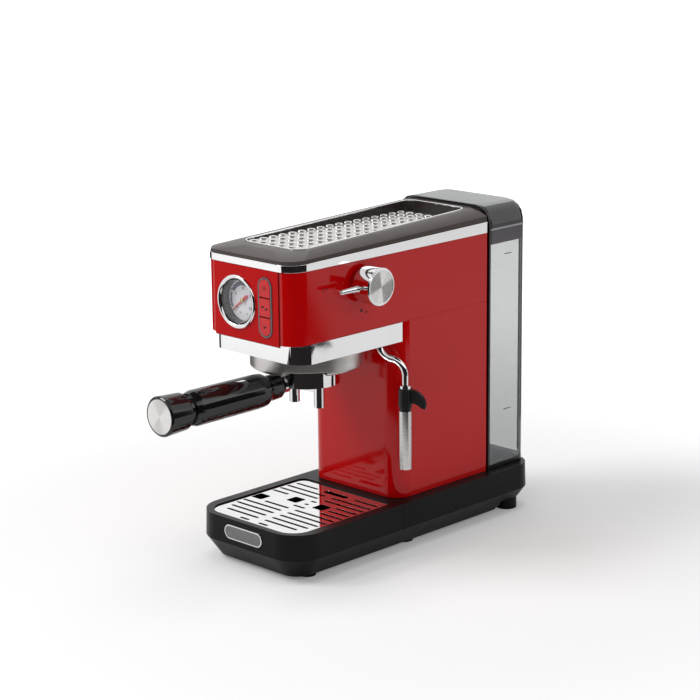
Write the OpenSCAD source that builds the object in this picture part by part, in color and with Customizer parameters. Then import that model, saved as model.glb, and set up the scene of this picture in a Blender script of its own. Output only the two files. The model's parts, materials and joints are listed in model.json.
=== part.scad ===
// Slim espresso machine with a rear water tank, a bayonet portafilter,
// a swivelling steam wand and a pull-out drip tray.
// Drafting datum: x = 0 on the centre plane, y = 0 on the front panel,
// z = 0 on the worktop. place() moves that datum to the part's origin.

/* [Body] */
// Width of the column and head
body_w = 115; // [106:1:130]
// Radius of the upright front corners of the body
body_r = 18; // [10:1:24]
// Radius of the upright rear corners of the body
body_rear_r = 4; // [3:1:8]
// Depth of the head, from the front panel to the tank
head_d = 258; // [250:1:275]
// Distance from the front panel to the face of the column
column_y = 131; // [128:1:138]
// Height of the underside of the head
head_z = 215; // [210:1:235]
// Height of the painted head above its underside
head_h = 65.5; // [62:0.5:80]
// Thickness of the painted steel walls
shell_t = 2.2; // [1.6:0.1:2.6]

/* [Base] */
// Width of the base and drip tray
base_w = 138; // [130:1:150]
// How far the tray stands in front of the front panel
base_front = 11; // [6:1:20]
// Distance from the front panel to the rear of the base
base_rear = 317; // [310:1:330]
// Height of the deck of the base
deck_z = 46; // [42:1:52]
// Height of the widest line round the base
crease_z = 22; // [18:1:28]
// Inward slope of the base below its widest line
base_chamfer = 13.5; // [6:0.5:14]
// Height of the underside of the base
floor_z = 3; // [2:0.5:4]
// Plan radius of the tray's front corners
base_front_r = 30; // [24:1:44]
// Plan radius of the base's rear corners
base_rear_r = 24; // [12:1:28]
// Wall thickness of the base mouldings
base_t = 2.6; // [2:0.1:3.2]
// Where the tray ends and the fixed base begins
split_y = 127; // [124:1:129]

/* [Top] */
// Overall height of the machine
overall_h = 305; // [302:1:330]
// Height of the chrome strip at the front
strip_h = 6.5; // [5:0.5:9]
// Slope of the chrome strip's upper edge, in degrees
strip_tilt = 0.9; // [0:0.1:1.5]
// Height of the top cover at its front, above the painted head
cover_front_h = 13; // [12:0.5:16]
// Slope of the top cover towards the rear, in degrees
cover_tilt = 2; // [0:0.1:2.2]
// Width of the cup shelf recess
shelf_w = 76; // [60:1:84]
// Distance from the front panel to the cup shelf recess
shelf_front = 28; // [24:1:40]
// Distance from the front panel to the rear of the cup shelf recess
shelf_rear = 250; // [220:1:252]
// Corner radius of the cup shelf recess
shelf_r = 12; // [8:1:20]
// Width of the chrome rail round the cup shelf
rail_t = 1.6; // [1.2:0.1:2.4]
// Height of the cup shelf above the painted head
shelf_h = 13.2; // [12.4:0.1:13.8]

/* [Front panel] */
// Width of the front panel
panel_w = 82; // [76:0.5:84]
// How far the front panel stands proud of the head
panel_proud = 1; // [0.6:0.1:2]
// Sideways place of the gauge
gauge_x = -11.9; // [-16:0.1:-11]
// Height of the gauge above the underside of the head
gauge_h = 32; // [30:0.5:34]
// Outer radius of the gauge bezel
bezel_r = 24.5; // [22:0.5:25]
// How far the gauge bezel stands proud
bezel_proud = 3.2; // [2:0.1:5]
// Radius of the gauge dial
dial_r = 19.6; // [17:0.1:20]
// Depth of the dial behind the front panel
dial_y = 8; // [7:0.5:10]
// Sideways place of the buttons
button_x = 24.8; // [24:0.1:27]
// Height of the centre of the buttons above the underside of the head
button_h = 32; // [31:0.5:34]
// Width of the button frame
button_frame_w = 17; // [14:0.5:18]
// Height of the button frame
button_frame_h = 54; // [48:0.5:56]
// Width of the grey rim of the button frame
button_rim = 1.4; // [1:0.1:2]
// Travel of each button
button_travel = 1.5; // [0.8:0.1:2]

/* [Group] */
// Distance from the front panel to the group's axis
group_y = 71.5; // [66:0.5:72]
// Height of the chrome skirt under the head
skirt_h = 18; // [14:0.5:20]
// How far the skirt's front is set back from the front panel
skirt_front = 8; // [5:0.5:12]
// How far the skirt's sides stand out from the body
skirt_proud = 0.8; // [0.4:0.1:1.5]
// Outer radius of the group collar
collar_r = 51.5; // [46:0.5:52]
// Height of the group collar
collar_h = 18.5; // [17:0.5:20]
// Bore radius of the group collar
collar_bore_r = 38; // [37:0.5:40]
// Outer radius of the portafilter cup
cup_r = 31; // [30.5:0.1:31.5]
// Depth of the portafilter cup below the collar
cup_drop = 16; // [13:0.5:20]
// Half the distance between the two spouts
spout_x = 16; // [14:0.5:20]
// Outer radius of a spout
spout_r = 4.8; // [4.5:0.1:6]
// Drop of the spouts below the cup
spout_drop = 22; // [16:0.5:24]
// How far the portafilter turns to unlock, in degrees
unlock_turn = 45; // [30:1:50]

/* [Portafilter handle] */
// Height of the handle's axis above the underside of the cup
handle_rise = 2.5; // [2:0.5:3.5]
// Distance from the group's axis to the end of the handle
handle_reach = 176; // [160:1:190]
// Radius of the handle at its root
handle_root_r = 11.5; // [10:0.5:12]
// Radius of the handle next to its end cap
handle_end_r = 16.2; // [14:0.1:17]
// Radius of the handle's end cap
cap_r = 18; // [17:0.1:19]
// Length of the handle's end cap
cap_l = 28; // [22:0.5:32]

/* [Steam] */
// Distance from the front panel to the steam knob's axis
knob_y = 86; // [82:0.5:90]
// Height of the steam knob's axis above the underside of the head
knob_h = 44.5; // [42:0.5:46]
// Radius of the steam knob
knob_r = 17; // [15:0.1:18]
// Length of the steam knob
knob_l = 19.5; // [14:0.5:20]
// Gap between the body and the steam knob, where the hub shows
knob_standoff = 5; // [3:0.5:8]
// Reach of the lever from the knob's axis
lever_l = 42; // [36:1:46]
// Sideways place of the steam wand's swivel
wand_x = 45; // [43:0.5:46]
// Distance from the front panel to the steam wand's swivel
wand_y = 120; // [119:0.5:121]
// Radius of the steam wand's pipe
wand_r = 3; // [2.5:0.1:3.5]
// Sideways reach of the steam wand's bend
wand_bend = 25.5; // [23:0.5:28]
// Plan angle of the steam wand at rest, in degrees
wand_turn = 23; // [18:1:26]
// Height of the tip of the steam wand
wand_tip_z = 80; // [70:1:90]
// Length of the frothing sleeve
sleeve_l = 55; // [48:1:58]
// Radius of the frothing sleeve
sleeve_r = 5.7; // [5:0.1:6.5]
// Length of the wand's grip
grip_l = 21; // [18:0.5:24]
// Radius of the wand's grip
grip_r = 6.3; // [6:0.1:7.5]

/* [Water tank] */
// Depth of the tank behind the head
tank_d = 58; // [46:1:60]
// Wall thickness of the tank
tank_t = 2.2; // [1.8:0.1:3]
// Plan radius of the tank's rear corners
tank_r = 13; // [10:1:20]
// Height of the tank's lid
lid_h = 22; // [18:0.5:26]
// Thickness of the gasket between the head and the tank
gasket_t = 2.4; // [1.6:0.1:3]

/* [Drip grille] */
// Thickness of the drip grille
grille_t = 1.4; // [1:0.1:2]
// Side rim between the grille and the edge of the tray
grille_rim = 10.5; // [8:0.5:14]
// Width of a slot in the grille
slot_w = 3.2; // [2.8:0.1:4]
// Distance from one row of slots to the next
slot_pitch = 9.5; // [8.5:0.1:9.8]
// Half the width of the bridge down the middle of the grille
bridge = 4.2; // [3:0.1:6]

/* [Feet] */
// Radius of the front and middle feet
foot_r = 8; // [6:0.5:8.5]
// Radius of the rear feet
rear_foot_r = 10.2; // [8:0.1:10.5]
// Half the distance between the front feet
foot_x = 46; // [38:1:47]
// Half the distance between the rear feet
rear_foot_x = 51.5; // [44:0.5:52]

/* [Fits] */
// Gap round a piece that lifts or slides out
loose = 0.3; // [0.2:0.05:0.5]
// Radial clearance of a turning fit
running = 0.05; // [0.02:0.01:0.09]

/* [Hidden] */

$fn = 64;
skin = 0.01;                // thickness of the slices that a hull joins
cutter = 1;                 // how far a cutting solid runs past a face
far = 600;                  // half-size of the block that trims at a sloping plane

head_top = head_z + head_h;
gauge_z = head_z + gauge_h;
button_z = head_z + button_h;
knob_z = head_z + knob_h;
knob_end = body_w / 2 + knob_standoff + knob_l;
skirt_z = head_z - skirt_h;
collar_z = skirt_z - collar_h;
cup_z = collar_z - cup_drop;
spout_z = cup_z - spout_drop;
handle_z = cup_z + handle_rise;
handle_end_y = group_y - handle_reach;
tank_rear = head_d + tank_d;
rear_y = max(base_rear, tank_rear);
inner_w = body_w - 2 * shell_t;

fin_root = 5.5;             // where the wand's thumb fin starts, from the pipe's axis
fin_r = 14.4;
fin_reach = fin_root + fin_r;
fin_half = 2.2;
wand_out = wand_x + (wand_bend + fin_reach) * cos(wand_turn) + fin_half * sin(wand_turn);

// The part's origin: bottom centre of the whole machine's box
origin_x = (max(knob_end, wand_out) - base_w / 2) / 2;
origin_y = (handle_end_y + rear_y) / 2;

module place() {
    translate([-origin_x, -origin_y, 0]) children();
}

// ---------------------------------------------------------------- shapes

// Plan outline from front to rear with a radius at each end
module plan(width, front, rear, front_r, rear_r) {
    depth = rear - front;
    translate([front_r - width / 2, front]) square([width - 2 * front_r, depth / 2]);
    translate([rear_r - width / 2, front + depth / 2]) square([width - 2 * rear_r, depth / 2]);
    translate([-width / 2, front + front_r]) square([width, depth - front_r - rear_r]);
    for (side = [-1, 1]) {
        translate([side * (width / 2 - front_r), front + front_r]) circle(r = front_r);
        translate([side * (width / 2 - rear_r), rear - rear_r]) circle(r = rear_r);
    }
}

// Upright block on such an outline
module block(width, front, rear, front_r, rear_r, bottom, top) {
    translate([0, 0, bottom]) linear_extrude(top - bottom) plan(width, front, rear, front_r, rear_r);
}

// Flat box with square corners, given by its limits
module box(x0, x1, y0, y1, z0, z1) {
    translate([x0, y0, z0]) cube([x1 - x0, y1 - y0, z1 - z0]);
}

// Everything below a plane that passes through z at y = 0 and rises to the rear
module below(z, slope) {
    translate([0, 0, z]) rotate([slope, 0, 0]) translate([-far, -far, -far]) cube([2 * far, 2 * far, far]);
}

// Everything above such a plane
module above(z, slope) {
    translate([0, 0, z]) rotate([slope, 0, 0]) translate([-far, -far, 0]) cube([2 * far, 2 * far, far]);
}

// Rod along Y from y0 to y1
module rod_y(r, x, y0, y1, z) {
    translate([x, y0, z]) rotate([-90, 0, 0]) cylinder(r = r, h = y1 - y0);
}

// Rod along X from x0 to x1
module rod_x(r, x0, x1, y, z) {
    translate([x0, y, z]) rotate([0, 90, 0]) cylinder(r = r, h = x1 - x0);
}

// Upright rod from z0 to z1
module rod_z(r, x, y, z0, z1) {
    translate([x, y, z0]) cylinder(r = r, h = z1 - z0);
}

// Upright-ended slot, seen from the front, from z0 to z1
module capsule(width, x, y0, y1, z0, z1) {
    r = width / 2;
    translate([x, y1, 0]) rotate([90, 0, 0]) linear_extrude(y1 - y0) {
        translate([-r, z0 + r]) square([width, z1 - z0 - width]);
        translate([0, z0 + r]) circle(r = r);
        translate([0, z1 - r]) circle(r = r);
    }
}

// ---------------------------------------------------------------- base

// One level slice of the base's outline, drawn in by inset
module base_slice(z, inset) {
    translate([0, 0, z]) linear_extrude(skin)
        plan(base_w - 2 * inset, inset - base_front, base_rear - inset,
             base_front_r - inset, base_rear_r - inset, $fn = 48);
}

// The base's outer form, drawn in by inset, open towards top and bottom
module base_form(inset, bottom, top) {
    lip = 0.8;               // inward lean of the upper band
    low = base_chamfer * (crease_z - bottom) / (crease_z - floor_z);
    hull() {
        base_slice(bottom, inset + low);
        base_slice(crease_z - skin, inset);
    }
    hull() {
        base_slice(crease_z - skin, inset);
        base_slice(top - skin, inset + lip);
    }
}

rear_floor_y = base_rear - 46;   // behind this line the base's underside is raised
rear_floor_z = floor_z + 9;
plate_t = 2;
plate_rear = rear_floor_y - loose;
boss_r = 4.5;
boss_bore = 1.6;
boss_points = [for (x = [-1, 1]) for (y = [split_y + 14, rear_floor_y - 12]) [x * (base_w / 2 - base_chamfer - 14), y]];
peg_x = base_w / 2 - 20.5;
peg_z = floor_z + 10;
peg_r = 3.5;
peg_l = 12;
gland_x = -38;
gland_z = 26;
gland_r = 7;
dock_x = 0;
dock_y = head_d + tank_d / 2;
dock_r = 9;
deck_hole_w = inner_w - 8;
vents = 3;
vent_l = 60;
vent_w = 4;
vent_pitch = 10;
vent_y = split_y + 30;

module base_pan() {
    color([0.10, 0.10, 0.10]) place() difference() {
        intersection() {
            base_form(0, floor_z, deck_z);
            box(-base_w, base_w, split_y + loose, base_rear + cutter, -cutter, deck_z + cutter);
        }
        difference() {
            intersection() {
                base_form(base_t, floor_z - cutter, deck_z);
                box(-base_w, base_w, split_y + loose + base_t, base_rear, floor_z - 2 * cutter, deck_z - base_t);
            }
            box(-base_w, base_w, rear_floor_y, base_rear, 0, rear_floor_z + base_t);
            for (p = boss_points) rod_z(boss_r, p[0], p[1], floor_z + plate_t, deck_z);
        }
        box(-base_w, base_w, rear_floor_y + base_t, base_rear + cutter, 0, rear_floor_z);
        box(-base_w, base_w, rear_floor_y - skin, base_rear, 0, floor_z + plate_t);
        box(-deck_hole_w / 2, deck_hole_w / 2, column_y + shell_t + body_r / 2, head_d - shell_t - 4,
            deck_z - base_t - cutter, deck_z + cutter);
        for (p = boss_points) rod_z(boss_bore, p[0], p[1], 0, floor_z + 16);
        for (side = [-1, 1]) rod_y(peg_r, side * peg_x, split_y - cutter, split_y + base_t + cutter, peg_z);
        rod_z(dock_r, dock_x, dock_y, deck_z - base_t - cutter, deck_z + cutter);
        rod_y(gland_r, gland_x, base_rear - 2 * base_t, base_rear + cutter, gland_z);
    }
}

module base_bottom_plate() {
    color([0.16, 0.16, 0.16]) place() difference() {
        union() {
            block(base_w - 2 * base_chamfer - 2 * base_t - 2 * loose - 2, split_y + base_t + 2 * loose, plate_rear,
                  3, 3, floor_z, floor_z + plate_t);
            for (side = [-1, 1]) rod_y(peg_r - running, side * peg_x, split_y - peg_l, split_y + base_t + 4, peg_z);
            for (side = [-1, 1]) box(side * peg_x - 3.8, side * peg_x + 3.8, split_y + base_t + 2 * loose,
                                     split_y + base_t + 6, floor_z, peg_z + 5);
        }
        for (p = boss_points) rod_z(boss_bore + 0.4, p[0], p[1], 0, floor_z + plate_t + cutter);
        for (i = [0 : vents - 1]) translate([-vent_l / 2, vent_y + i * vent_pitch, 0])
            cube([vent_l, vent_w, floor_z + plate_t + cutter]);
    }
}

module foot(r, x, y, top) {
    difference() {
        rod_z(r, x, y, 0, top);
        rod_z(r / 3, x, y, -cutter, 1);
    }
}

middle_foot_y = split_y + 25;
rear_foot_y = base_rear - 24;

module middle_feet() {
    color([0.07, 0.07, 0.07]) place() for (side = [-1, 1]) foot(foot_r, side * foot_x, middle_foot_y, floor_z);
}

module rear_feet() {
    color([0.07, 0.07, 0.07]) place() for (side = [-1, 1]) foot(rear_foot_r, side * rear_foot_x, rear_foot_y, rear_floor_z);
}

module base_screws() {
    color([0.62, 0.62, 0.64]) place() for (p = boss_points) difference() {
        union() {
            rod_z(boss_bore - 0.02, p[0], p[1], floor_z - 1, floor_z + 14);
            rod_z(3.2, p[0], p[1], floor_z - 1.8, floor_z);
        }
        box(p[0] - 2.4, p[0] + 2.4, p[1] - 0.4, p[1] + 0.4, floor_z - 1.8 - cutter, floor_z - 0.9);
    }
}

// ---------------------------------------------------------------- column and head

module column_shell() {
    color([0.72, 0.02, 0.03]) place() difference() {
        block(body_w, column_y, head_d, body_r, body_rear_r, deck_z, head_z);
        block(inner_w, column_y + shell_t, head_d - shell_t, body_r - shell_t, body_rear_r - shell_t,
              deck_z - cutter, head_z + cutter);
    }
}

group_hole_r = collar_bore_r - 0.3;
panel_gap = 0.25;
panel_top = head_top - 0.3;
panel_bottom = head_z - 1.2;
window_bottom = head_z + shell_t + 1;
window_top = head_top - 1.5;
spindle_r = 5;

module head_shell() {
    color([0.72, 0.02, 0.03]) place() difference() {
        block(body_w, 0, head_d, body_r, body_rear_r, head_z, head_top);
        block(inner_w, shell_t, head_d - shell_t, body_r - shell_t, body_rear_r - shell_t,
              head_z + shell_t, head_top + cutter);
        // window that the front panel fills
        box(-panel_w / 2 + 3 - panel_gap, panel_w / 2 - 3 + panel_gap, -cutter, shell_t + cutter,
            window_bottom - panel_gap, window_top + panel_gap);
        rod_y(case_r + 2 * loose, gauge_x, -cutter, shell_t + cutter, gauge_z);
        capsule(button_frame_w + 2 * loose, button_x, -cutter, shell_t + cutter, frame_low - loose, frame_high + loose);
        // way through to the column, the group and the steam pipe
        block(inner_w - 8, column_y + 12, head_d - shell_t - 6, 10, 4, head_z - cutter, head_z + shell_t + cutter);
        rod_z(group_hole_r, 0, group_y, head_z - cutter, head_z + shell_t + cutter);
        rod_z(wand_r + 1, wand_x, wand_y, head_z - cutter, head_z + shell_t + cutter);
        rod_x(spindle_r + running, body_w / 2 - shell_t - cutter, body_w / 2 + cutter, knob_y, knob_z);
    }
}

// Chrome strip between the painted head and the top cover
module head_trim_strip() {
    side_out = 0.5;
    color([0.85, 0.85, 0.86]) place() intersection() {
        difference() {
            block(body_w + 2 * side_out, -panel_proud, head_d, body_r + side_out, body_rear_r,
                  head_top, overall_h);
            block(inner_w, shell_t, head_d - shell_t, body_r - shell_t, body_rear_r - shell_t,
                  head_top - cutter, overall_h + cutter);
        }
        below(head_top + strip_h, strip_tilt);
    }
}

shelf_z = head_top + shelf_h;
plate_gauge = 1.2;          // thickness of the cup shelf's sheet
cover_top = head_top + cover_front_h;

// Slice of the cover's form, tilted to run with its upper face
module cover_slice(z, slope, inset) {
    translate([0, 0, z]) rotate([slope, 0, 0]) linear_extrude(skin)
        plan(body_w - 2 * inset, inset, head_d - 0.4, body_r + inset / 3, body_rear_r + inset / 3, $fn = 48);
}

module top_cover() {
    band = 3;                // upright band between the strip and the shoulder
    color([0.33, 0.30, 0.29]) place() difference() {
        hull() {
            cover_slice(head_top + strip_h + skin, strip_tilt, 0);
            cover_slice(head_top + strip_h + band - skin, strip_tilt + 0.5, 0.5);
            cover_slice(cover_top - 2.2, cover_tilt, 7);
            cover_slice(cover_top - skin, cover_tilt, 16);
        }
        // recess of the cup shelf, down to the ledge that carries the plate
        block(shelf_w, shelf_front, shelf_rear, shelf_r, shelf_r, shelf_z - plate_gauge, overall_h + far);
        block(shelf_w - 8, shelf_front + 4, shelf_rear - 4, shelf_r - 4, shelf_r - 4, head_top, overall_h);
    }
}

module cup_rail() {
    color([0.85, 0.85, 0.86]) place() intersection() {
        difference() {
            block(shelf_w - 2 * skin, shelf_front + skin, shelf_rear - skin, shelf_r, shelf_r,
                  shelf_z - plate_gauge, overall_h + far);
            block(shelf_w - 2 * rail_t, shelf_front + rail_t, shelf_rear - rail_t, shelf_r - rail_t, shelf_r - rail_t,
                  shelf_z - plate_gauge - cutter, overall_h + far + cutter);
        }
        below(cover_top + 0.7, cover_tilt);
    }
}

module cup_warming_plate() {
    inset = rail_t + 0.15;
    color([0.75, 0.75, 0.74]) place()
        block(shelf_w - 2 * inset, shelf_front + inset, shelf_rear - inset, shelf_r - inset, shelf_r - inset,
              shelf_z - plate_gauge, shelf_z);
}

// Dark seal between the head and the tank; it stays on the body
// Shoulder of the lid and its gasket: depth below the top, and how far the side has come in
shoulder = [[18, 0], [10.4, 1.6], [5.3, 5], [1.7, 9.8], [skin, 17]];

module tank_gasket() {
    half = body_w / 2 + 0.5;
    low = overall_h - lid_h;
    right = [for (s = shoulder) [half - s[1], overall_h - s[0] + skin]];
    left = [for (i = [len(right) - 1 : -1 : 0]) [-right[i][0], right[i][1]]];
    color([0.05, 0.05, 0.05]) place() difference() {
        translate([0, head_d + gasket_t, 0]) rotate([90, 0, 0]) linear_extrude(gasket_t)
            polygon(concat([[-half, deck_z], [half, deck_z], [half, low]], right, left, [[-half, low]]));
        box(-body_w / 2 + 7, body_w / 2 - 7, head_d - cutter, head_d + gasket_t + cutter, deck_z + 7, head_z - 6);
    }
}

coupling_h = 5;

module tank_coupling() {
    color([0.12, 0.12, 0.12]) place() difference() {
        union() {
            rod_z(dock_r - running, dock_x, dock_y, deck_z - 10, deck_z);
            rod_z(dock_r + 3, dock_x, dock_y, deck_z - base_t - 2, deck_z - base_t);
            rod_z(4, dock_x, dock_y, deck_z - 18, deck_z - 9);
        }
        rod_z(2.5, dock_x, dock_y, deck_z - 20, deck_z + cutter);
        rod_z(dock_r - 2, dock_x, dock_y, deck_z - coupling_h, deck_z + cutter);
    }
}

module cord_gland() {
    color([0.07, 0.07, 0.07]) place() difference() {
        union() {
            rod_y(gland_r - running, gland_x, base_rear - 12, base_rear - 0.5, gland_z);
            rod_y(gland_r - 2, gland_x, base_rear - 20, base_rear - 11, gland_z);
        }
        rod_y(3.6, gland_x, base_rear - 22, base_rear + cutter, gland_z);
    }
}

// ---------------------------------------------------------------- front panel and gauge

case_r = bezel_r - 2;
case_l = 18;
case_stub = 4;
panel_back = shell_t + 1.8;

module front_panel() {
    color([0.75, 0.02, 0.03]) place() difference() {
        union() {
            box(-panel_w / 2, panel_w / 2, -panel_proud, 0, panel_bottom, panel_top);
            box(3 - panel_w / 2, panel_w / 2 - 3, -skin, panel_back, window_bottom, window_top);
        }
        rod_y(case_r + running, gauge_x, -panel_proud - cutter, panel_back + cutter, gauge_z);
        capsule(button_frame_w, button_x, -panel_proud - cutter, panel_back + cutter,
                button_z - button_frame_h / 2, button_z + button_frame_h / 2);
    }
}

module gauge_case() {
    color([0.20, 0.20, 0.21]) place() difference() {
        union() {
            rod_y(case_r, gauge_x, 0.2, case_l, gauge_z);
            rod_y(case_r + 2, gauge_x, panel_back, panel_back + 2, gauge_z);
            rod_y(5, gauge_x, case_l, case_l + case_stub, gauge_z);
        }
        rod_y(case_r - 1.6, gauge_x, 0, dial_y, gauge_z);
        rod_y(case_r - 4, gauge_x, dial_y - cutter, case_l - 1.6, gauge_z);
        rod_y(0.8, gauge_x, case_l - 3, case_l + case_stub + cutter, gauge_z);
    }
}

bezel_front = -panel_proud - bezel_proud;

module gauge_bezel() {
    color([0.85, 0.85, 0.86]) place() difference() {
        union() {
            rod_y(bezel_r, gauge_x, bezel_front, -panel_proud, gauge_z);
            rod_y(case_r, gauge_x, -panel_proud - skin, 0.2, gauge_z);
        }
        rod_y(dial_r + 0.6, gauge_x, bezel_front - cutter, cutter, gauge_z);
    }
}

needle_bore = 1;

module gauge_dial() {
    color([0.87, 0.87, 0.90]) place() difference() {
        rod_y(case_r - 1.65, gauge_x, dial_y - 1, dial_y, gauge_z);
        rod_y(needle_bore + running, gauge_x, dial_y - 2, dial_y + cutter, gauge_z);
    }
}

module gauge_glass() {
    color([0.9, 0.95, 1.0, 0.2]) place() rod_y(dial_r + 0.5, gauge_x, -1.4, 0.1, gauge_z);
}

// Needle with its spindle; at rest it points at the low end of the scale
needle_rest = 52;            // degrees from straight down towards the left

module gauge_needle() {
    color([0.80, 0.05, 0.05]) place() translate([gauge_x, 0, gauge_z]) {
        rod_y(needle_bore, 0, dial_y - 3.4, case_l - 5, 0);
        rod_y(1.9, 0, dial_y - 2.6, dial_y - 1.6, 0);
        rotate([0, needle_rest, 0]) translate([0, dial_y - 1.7, 0]) rotate([90, 0, 0]) linear_extrude(0.6)
            polygon([[-0.9, 0], [-0.35, -dial_r + 3.4], [0.35, -dial_r + 3.4], [0.9, 0],
                     [1.9, 5.5], [0, 8.2], [-1.9, 5.5]]);
    }
}

module gauge_capillary() {
    color([0.78, 0.48, 0.30]) place() rod_y(1.2, gauge_x, case_l + case_stub, block_front + 1, gauge_z);
}

// ---------------------------------------------------------------- buttons

frame_front = -panel_proud - 0.9;
frame_back = panel_back;
frame_low = button_z - button_frame_h / 2;
frame_high = button_z + button_frame_h / 2;
button_gap = 0.35;
button_span = button_frame_h - 2 * button_rim;
bar = 1;                     // dark bar between two buttons
button_cell = (button_span - 2 * bar) / 3;
cell_low = frame_low + button_rim;

// Limits in height of button i, counted from the lowest
function button_bottom_z(i) = cell_low + i * (button_cell + bar);

module button_frame() {
    color([0.45, 0.45, 0.46]) place() difference() {
        union() {
            capsule(button_frame_w - 0.1, button_x, frame_front, frame_back, frame_low + 0.05, frame_high - 0.05);
            capsule(button_frame_w + 4, button_x, frame_back, frame_back + 1.2, frame_low - 2, frame_high + 2);
        }
        difference() {
            capsule(button_frame_w - 2 * button_rim, button_x, frame_front - cutter, frame_back + 2,
                    frame_low + button_rim, frame_high - button_rim);
            for (i = [1, 2]) box(button_x - button_frame_w, button_x + button_frame_w, 0.6, frame_back + 2,
                                 button_bottom_z(i) - bar, button_bottom_z(i));
        }
    }
}

module button(i) {
    low = button_bottom_z(i) + (i == 0 ? -button_frame_w : button_gap - 0.2);
    high = button_bottom_z(i) + button_cell + (i == 2 ? button_frame_w : 0.2 - button_gap);
    color([0.80, 0.04, 0.05]) place() {
        intersection() {
            capsule(button_frame_w - 2 * button_rim - 2 * button_gap, button_x, frame_front - 0.3, frame_back - 0.5,
                    frame_low + button_rim + button_gap, frame_high - button_rim - button_gap);
            box(button_x - button_frame_w, button_x + button_frame_w, -10, 20, low, high);
        }
        rod_y(2, button_x, frame_back - 0.5, plunger_end, button_bottom_z(i) + button_cell / 2);
    }
}

module button_top() { button(2); }
module button_middle() { button(1); }
module button_bottom() { button(0); }

board_y = 16;                // front of the circuit board behind the buttons
switch_h = 4;
plunger_end = board_y - switch_h - button_travel - loose;

module switch_board() {
    half = 3;                // half-width of a switch
    color([0.05, 0.30, 0.15]) place() {
        box(button_x - 11, button_x + 13, board_y, board_y + 1.6, frame_low - 2, frame_high + 2);
        for (i = [0, 1, 2]) {
            middle = button_bottom_z(i) + button_cell / 2;
            box(button_x - half, button_x + half, board_y - switch_h, board_y, middle - half, middle + half);
        }
        for (z = [frame_low + 1, frame_high - 1]) rod_y(1.9, button_x + 11, frame_back, board_y, z);
    }
}

// ---------------------------------------------------------------- group

skirt_rear = column_y + 8;
skirt_t = 2;
skirt_lip = 1.4;

module group_skirt() {
    skirt_w = body_w + 2 * skirt_proud;
    color([0.85, 0.85, 0.86]) place() difference() {
        union() {
            block(skirt_w, skirt_front, skirt_rear, body_r, 2, skirt_z, head_z);
            // lip along its upper edge
            block(skirt_w, skirt_front - skirt_lip, skirt_rear, body_r, 2, head_z - skirt_lip, head_z);
        }
        block(skirt_w - 2 * skirt_t, skirt_front + skirt_t, skirt_rear + cutter, body_r - skirt_t, 1,
              skirt_z + skirt_t, head_z + cutter);
        block(body_w + 2 * 0.1, column_y - loose, head_d, body_r + loose, body_rear_r, skirt_z - cutter, head_z + cutter);
        rod_z(group_hole_r, 0, group_y, skirt_z - cutter, skirt_z + skirt_t + cutter);
        rod_z(wand_hole_r, wand_x, wand_y, skirt_z - cutter, skirt_z + skirt_t + cutter);
    }
}

lug_z = collar_z + 3;        // upper face of the collar's bayonet ledge
ledge_r = cup_r + 1.2;
lug_half = 18;               // half-angle of each bayonet lug
collar_round = 3;            // radius of the collar's lower edge

// Sector of a disc, both ways from the group's axis, centred on an angle
module bow(r, half, turn, z0, z1) {
    reach = 2 * r;
    translate([0, 0, z0]) linear_extrude(z1 - z0) rotate(turn) for (end = [0, 180]) rotate(end)
        polygon([[0, 0], [reach * cos(half), -reach * sin(half)], [reach * cos(half), reach * sin(half)]]);
}

module group_collar() {
    color([0.70, 0.70, 0.71]) place() translate([0, group_y, 0]) difference() {
        rotate_extrude() difference() {
            union() {
                translate([ledge_r, collar_z]) square([collar_r - ledge_r - collar_round, collar_round]);
                translate([ledge_r, collar_z + collar_round]) square([collar_r - ledge_r, collar_h - collar_round]);
                translate([collar_r - collar_round, collar_z + collar_round]) circle(r = collar_round);
            }
            translate([ledge_r - cutter, lug_z]) square([collar_bore_r - ledge_r + cutter, collar_h]);
        }
        bow(collar_bore_r, lug_half + 4, -unlock_turn, collar_z - cutter, lug_z + cutter);
    }
}

brew_z = collar_z + 10.5;    // underside of the group head's face
gasket_in = 27;
gasket_h = 6;

module group_head() {
    color([0.62, 0.62, 0.63]) place() translate([0, group_y, 0]) difference() {
        union() {
            rod_z(group_hole_r - 0.2, 0, 0, brew_z + gasket_h - 2, head_z + shell_t);
            rod_z(gasket_in - 0.1, 0, 0, brew_z + 1.5, brew_z + gasket_h);
        }
        rod_z(2.5, 0, 0, brew_z, brew_z + 12);
        for (a = [0:60:300]) rotate([0, 0, a]) rod_z(1.5, 15, 0, brew_z, brew_z + 12);
        difference() {
            rod_z(cup_r + 1, 0, 0, brew_z, brew_z + gasket_h - 1);
            rod_z(gasket_in - 0.1, 0, 0, brew_z - 1, brew_z + gasket_h);
        }
    }
}

module group_gasket() {
    color([0.10, 0.10, 0.10]) place() translate([0, group_y, 0]) difference() {
        rod_z(cup_r + 0.8, 0, 0, brew_z, brew_z + gasket_h - 1.1);
        rod_z(gasket_in, 0, 0, brew_z - cutter, brew_z + gasket_h);
    }
}

module shower_screen() {
    color([0.78, 0.78, 0.78]) place() translate([0, group_y, 0]) difference() {
        rod_z(gasket_in - 1, 0, 0, brew_z + 0.3, brew_z + 1.4);
        rod_z(2.6, 0, 0, brew_z - 1, brew_z + 3);
        for (ring = [1, 2, 3]) for (i = [0 : 6 * ring - 1])
            rotate([0, 0, i * 60 / ring]) rod_z(0.9, 7 * ring, 0, brew_z - 1, brew_z + 3, $fn = 16);
    }
}

module shower_screw() {
    color([0.72, 0.72, 0.74]) place() translate([0, group_y, 0]) difference() {
        union() {
            rod_z(2.4, 0, 0, brew_z, brew_z + 10);
            rod_z(4.5, 0, 0, brew_z - 1.5, brew_z + 0.3);
        }
        box(-3, 3, -0.5, 0.5, brew_z - 2.5, brew_z - 0.7);
    }
}

// ---------------------------------------------------------------- boiler

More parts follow.
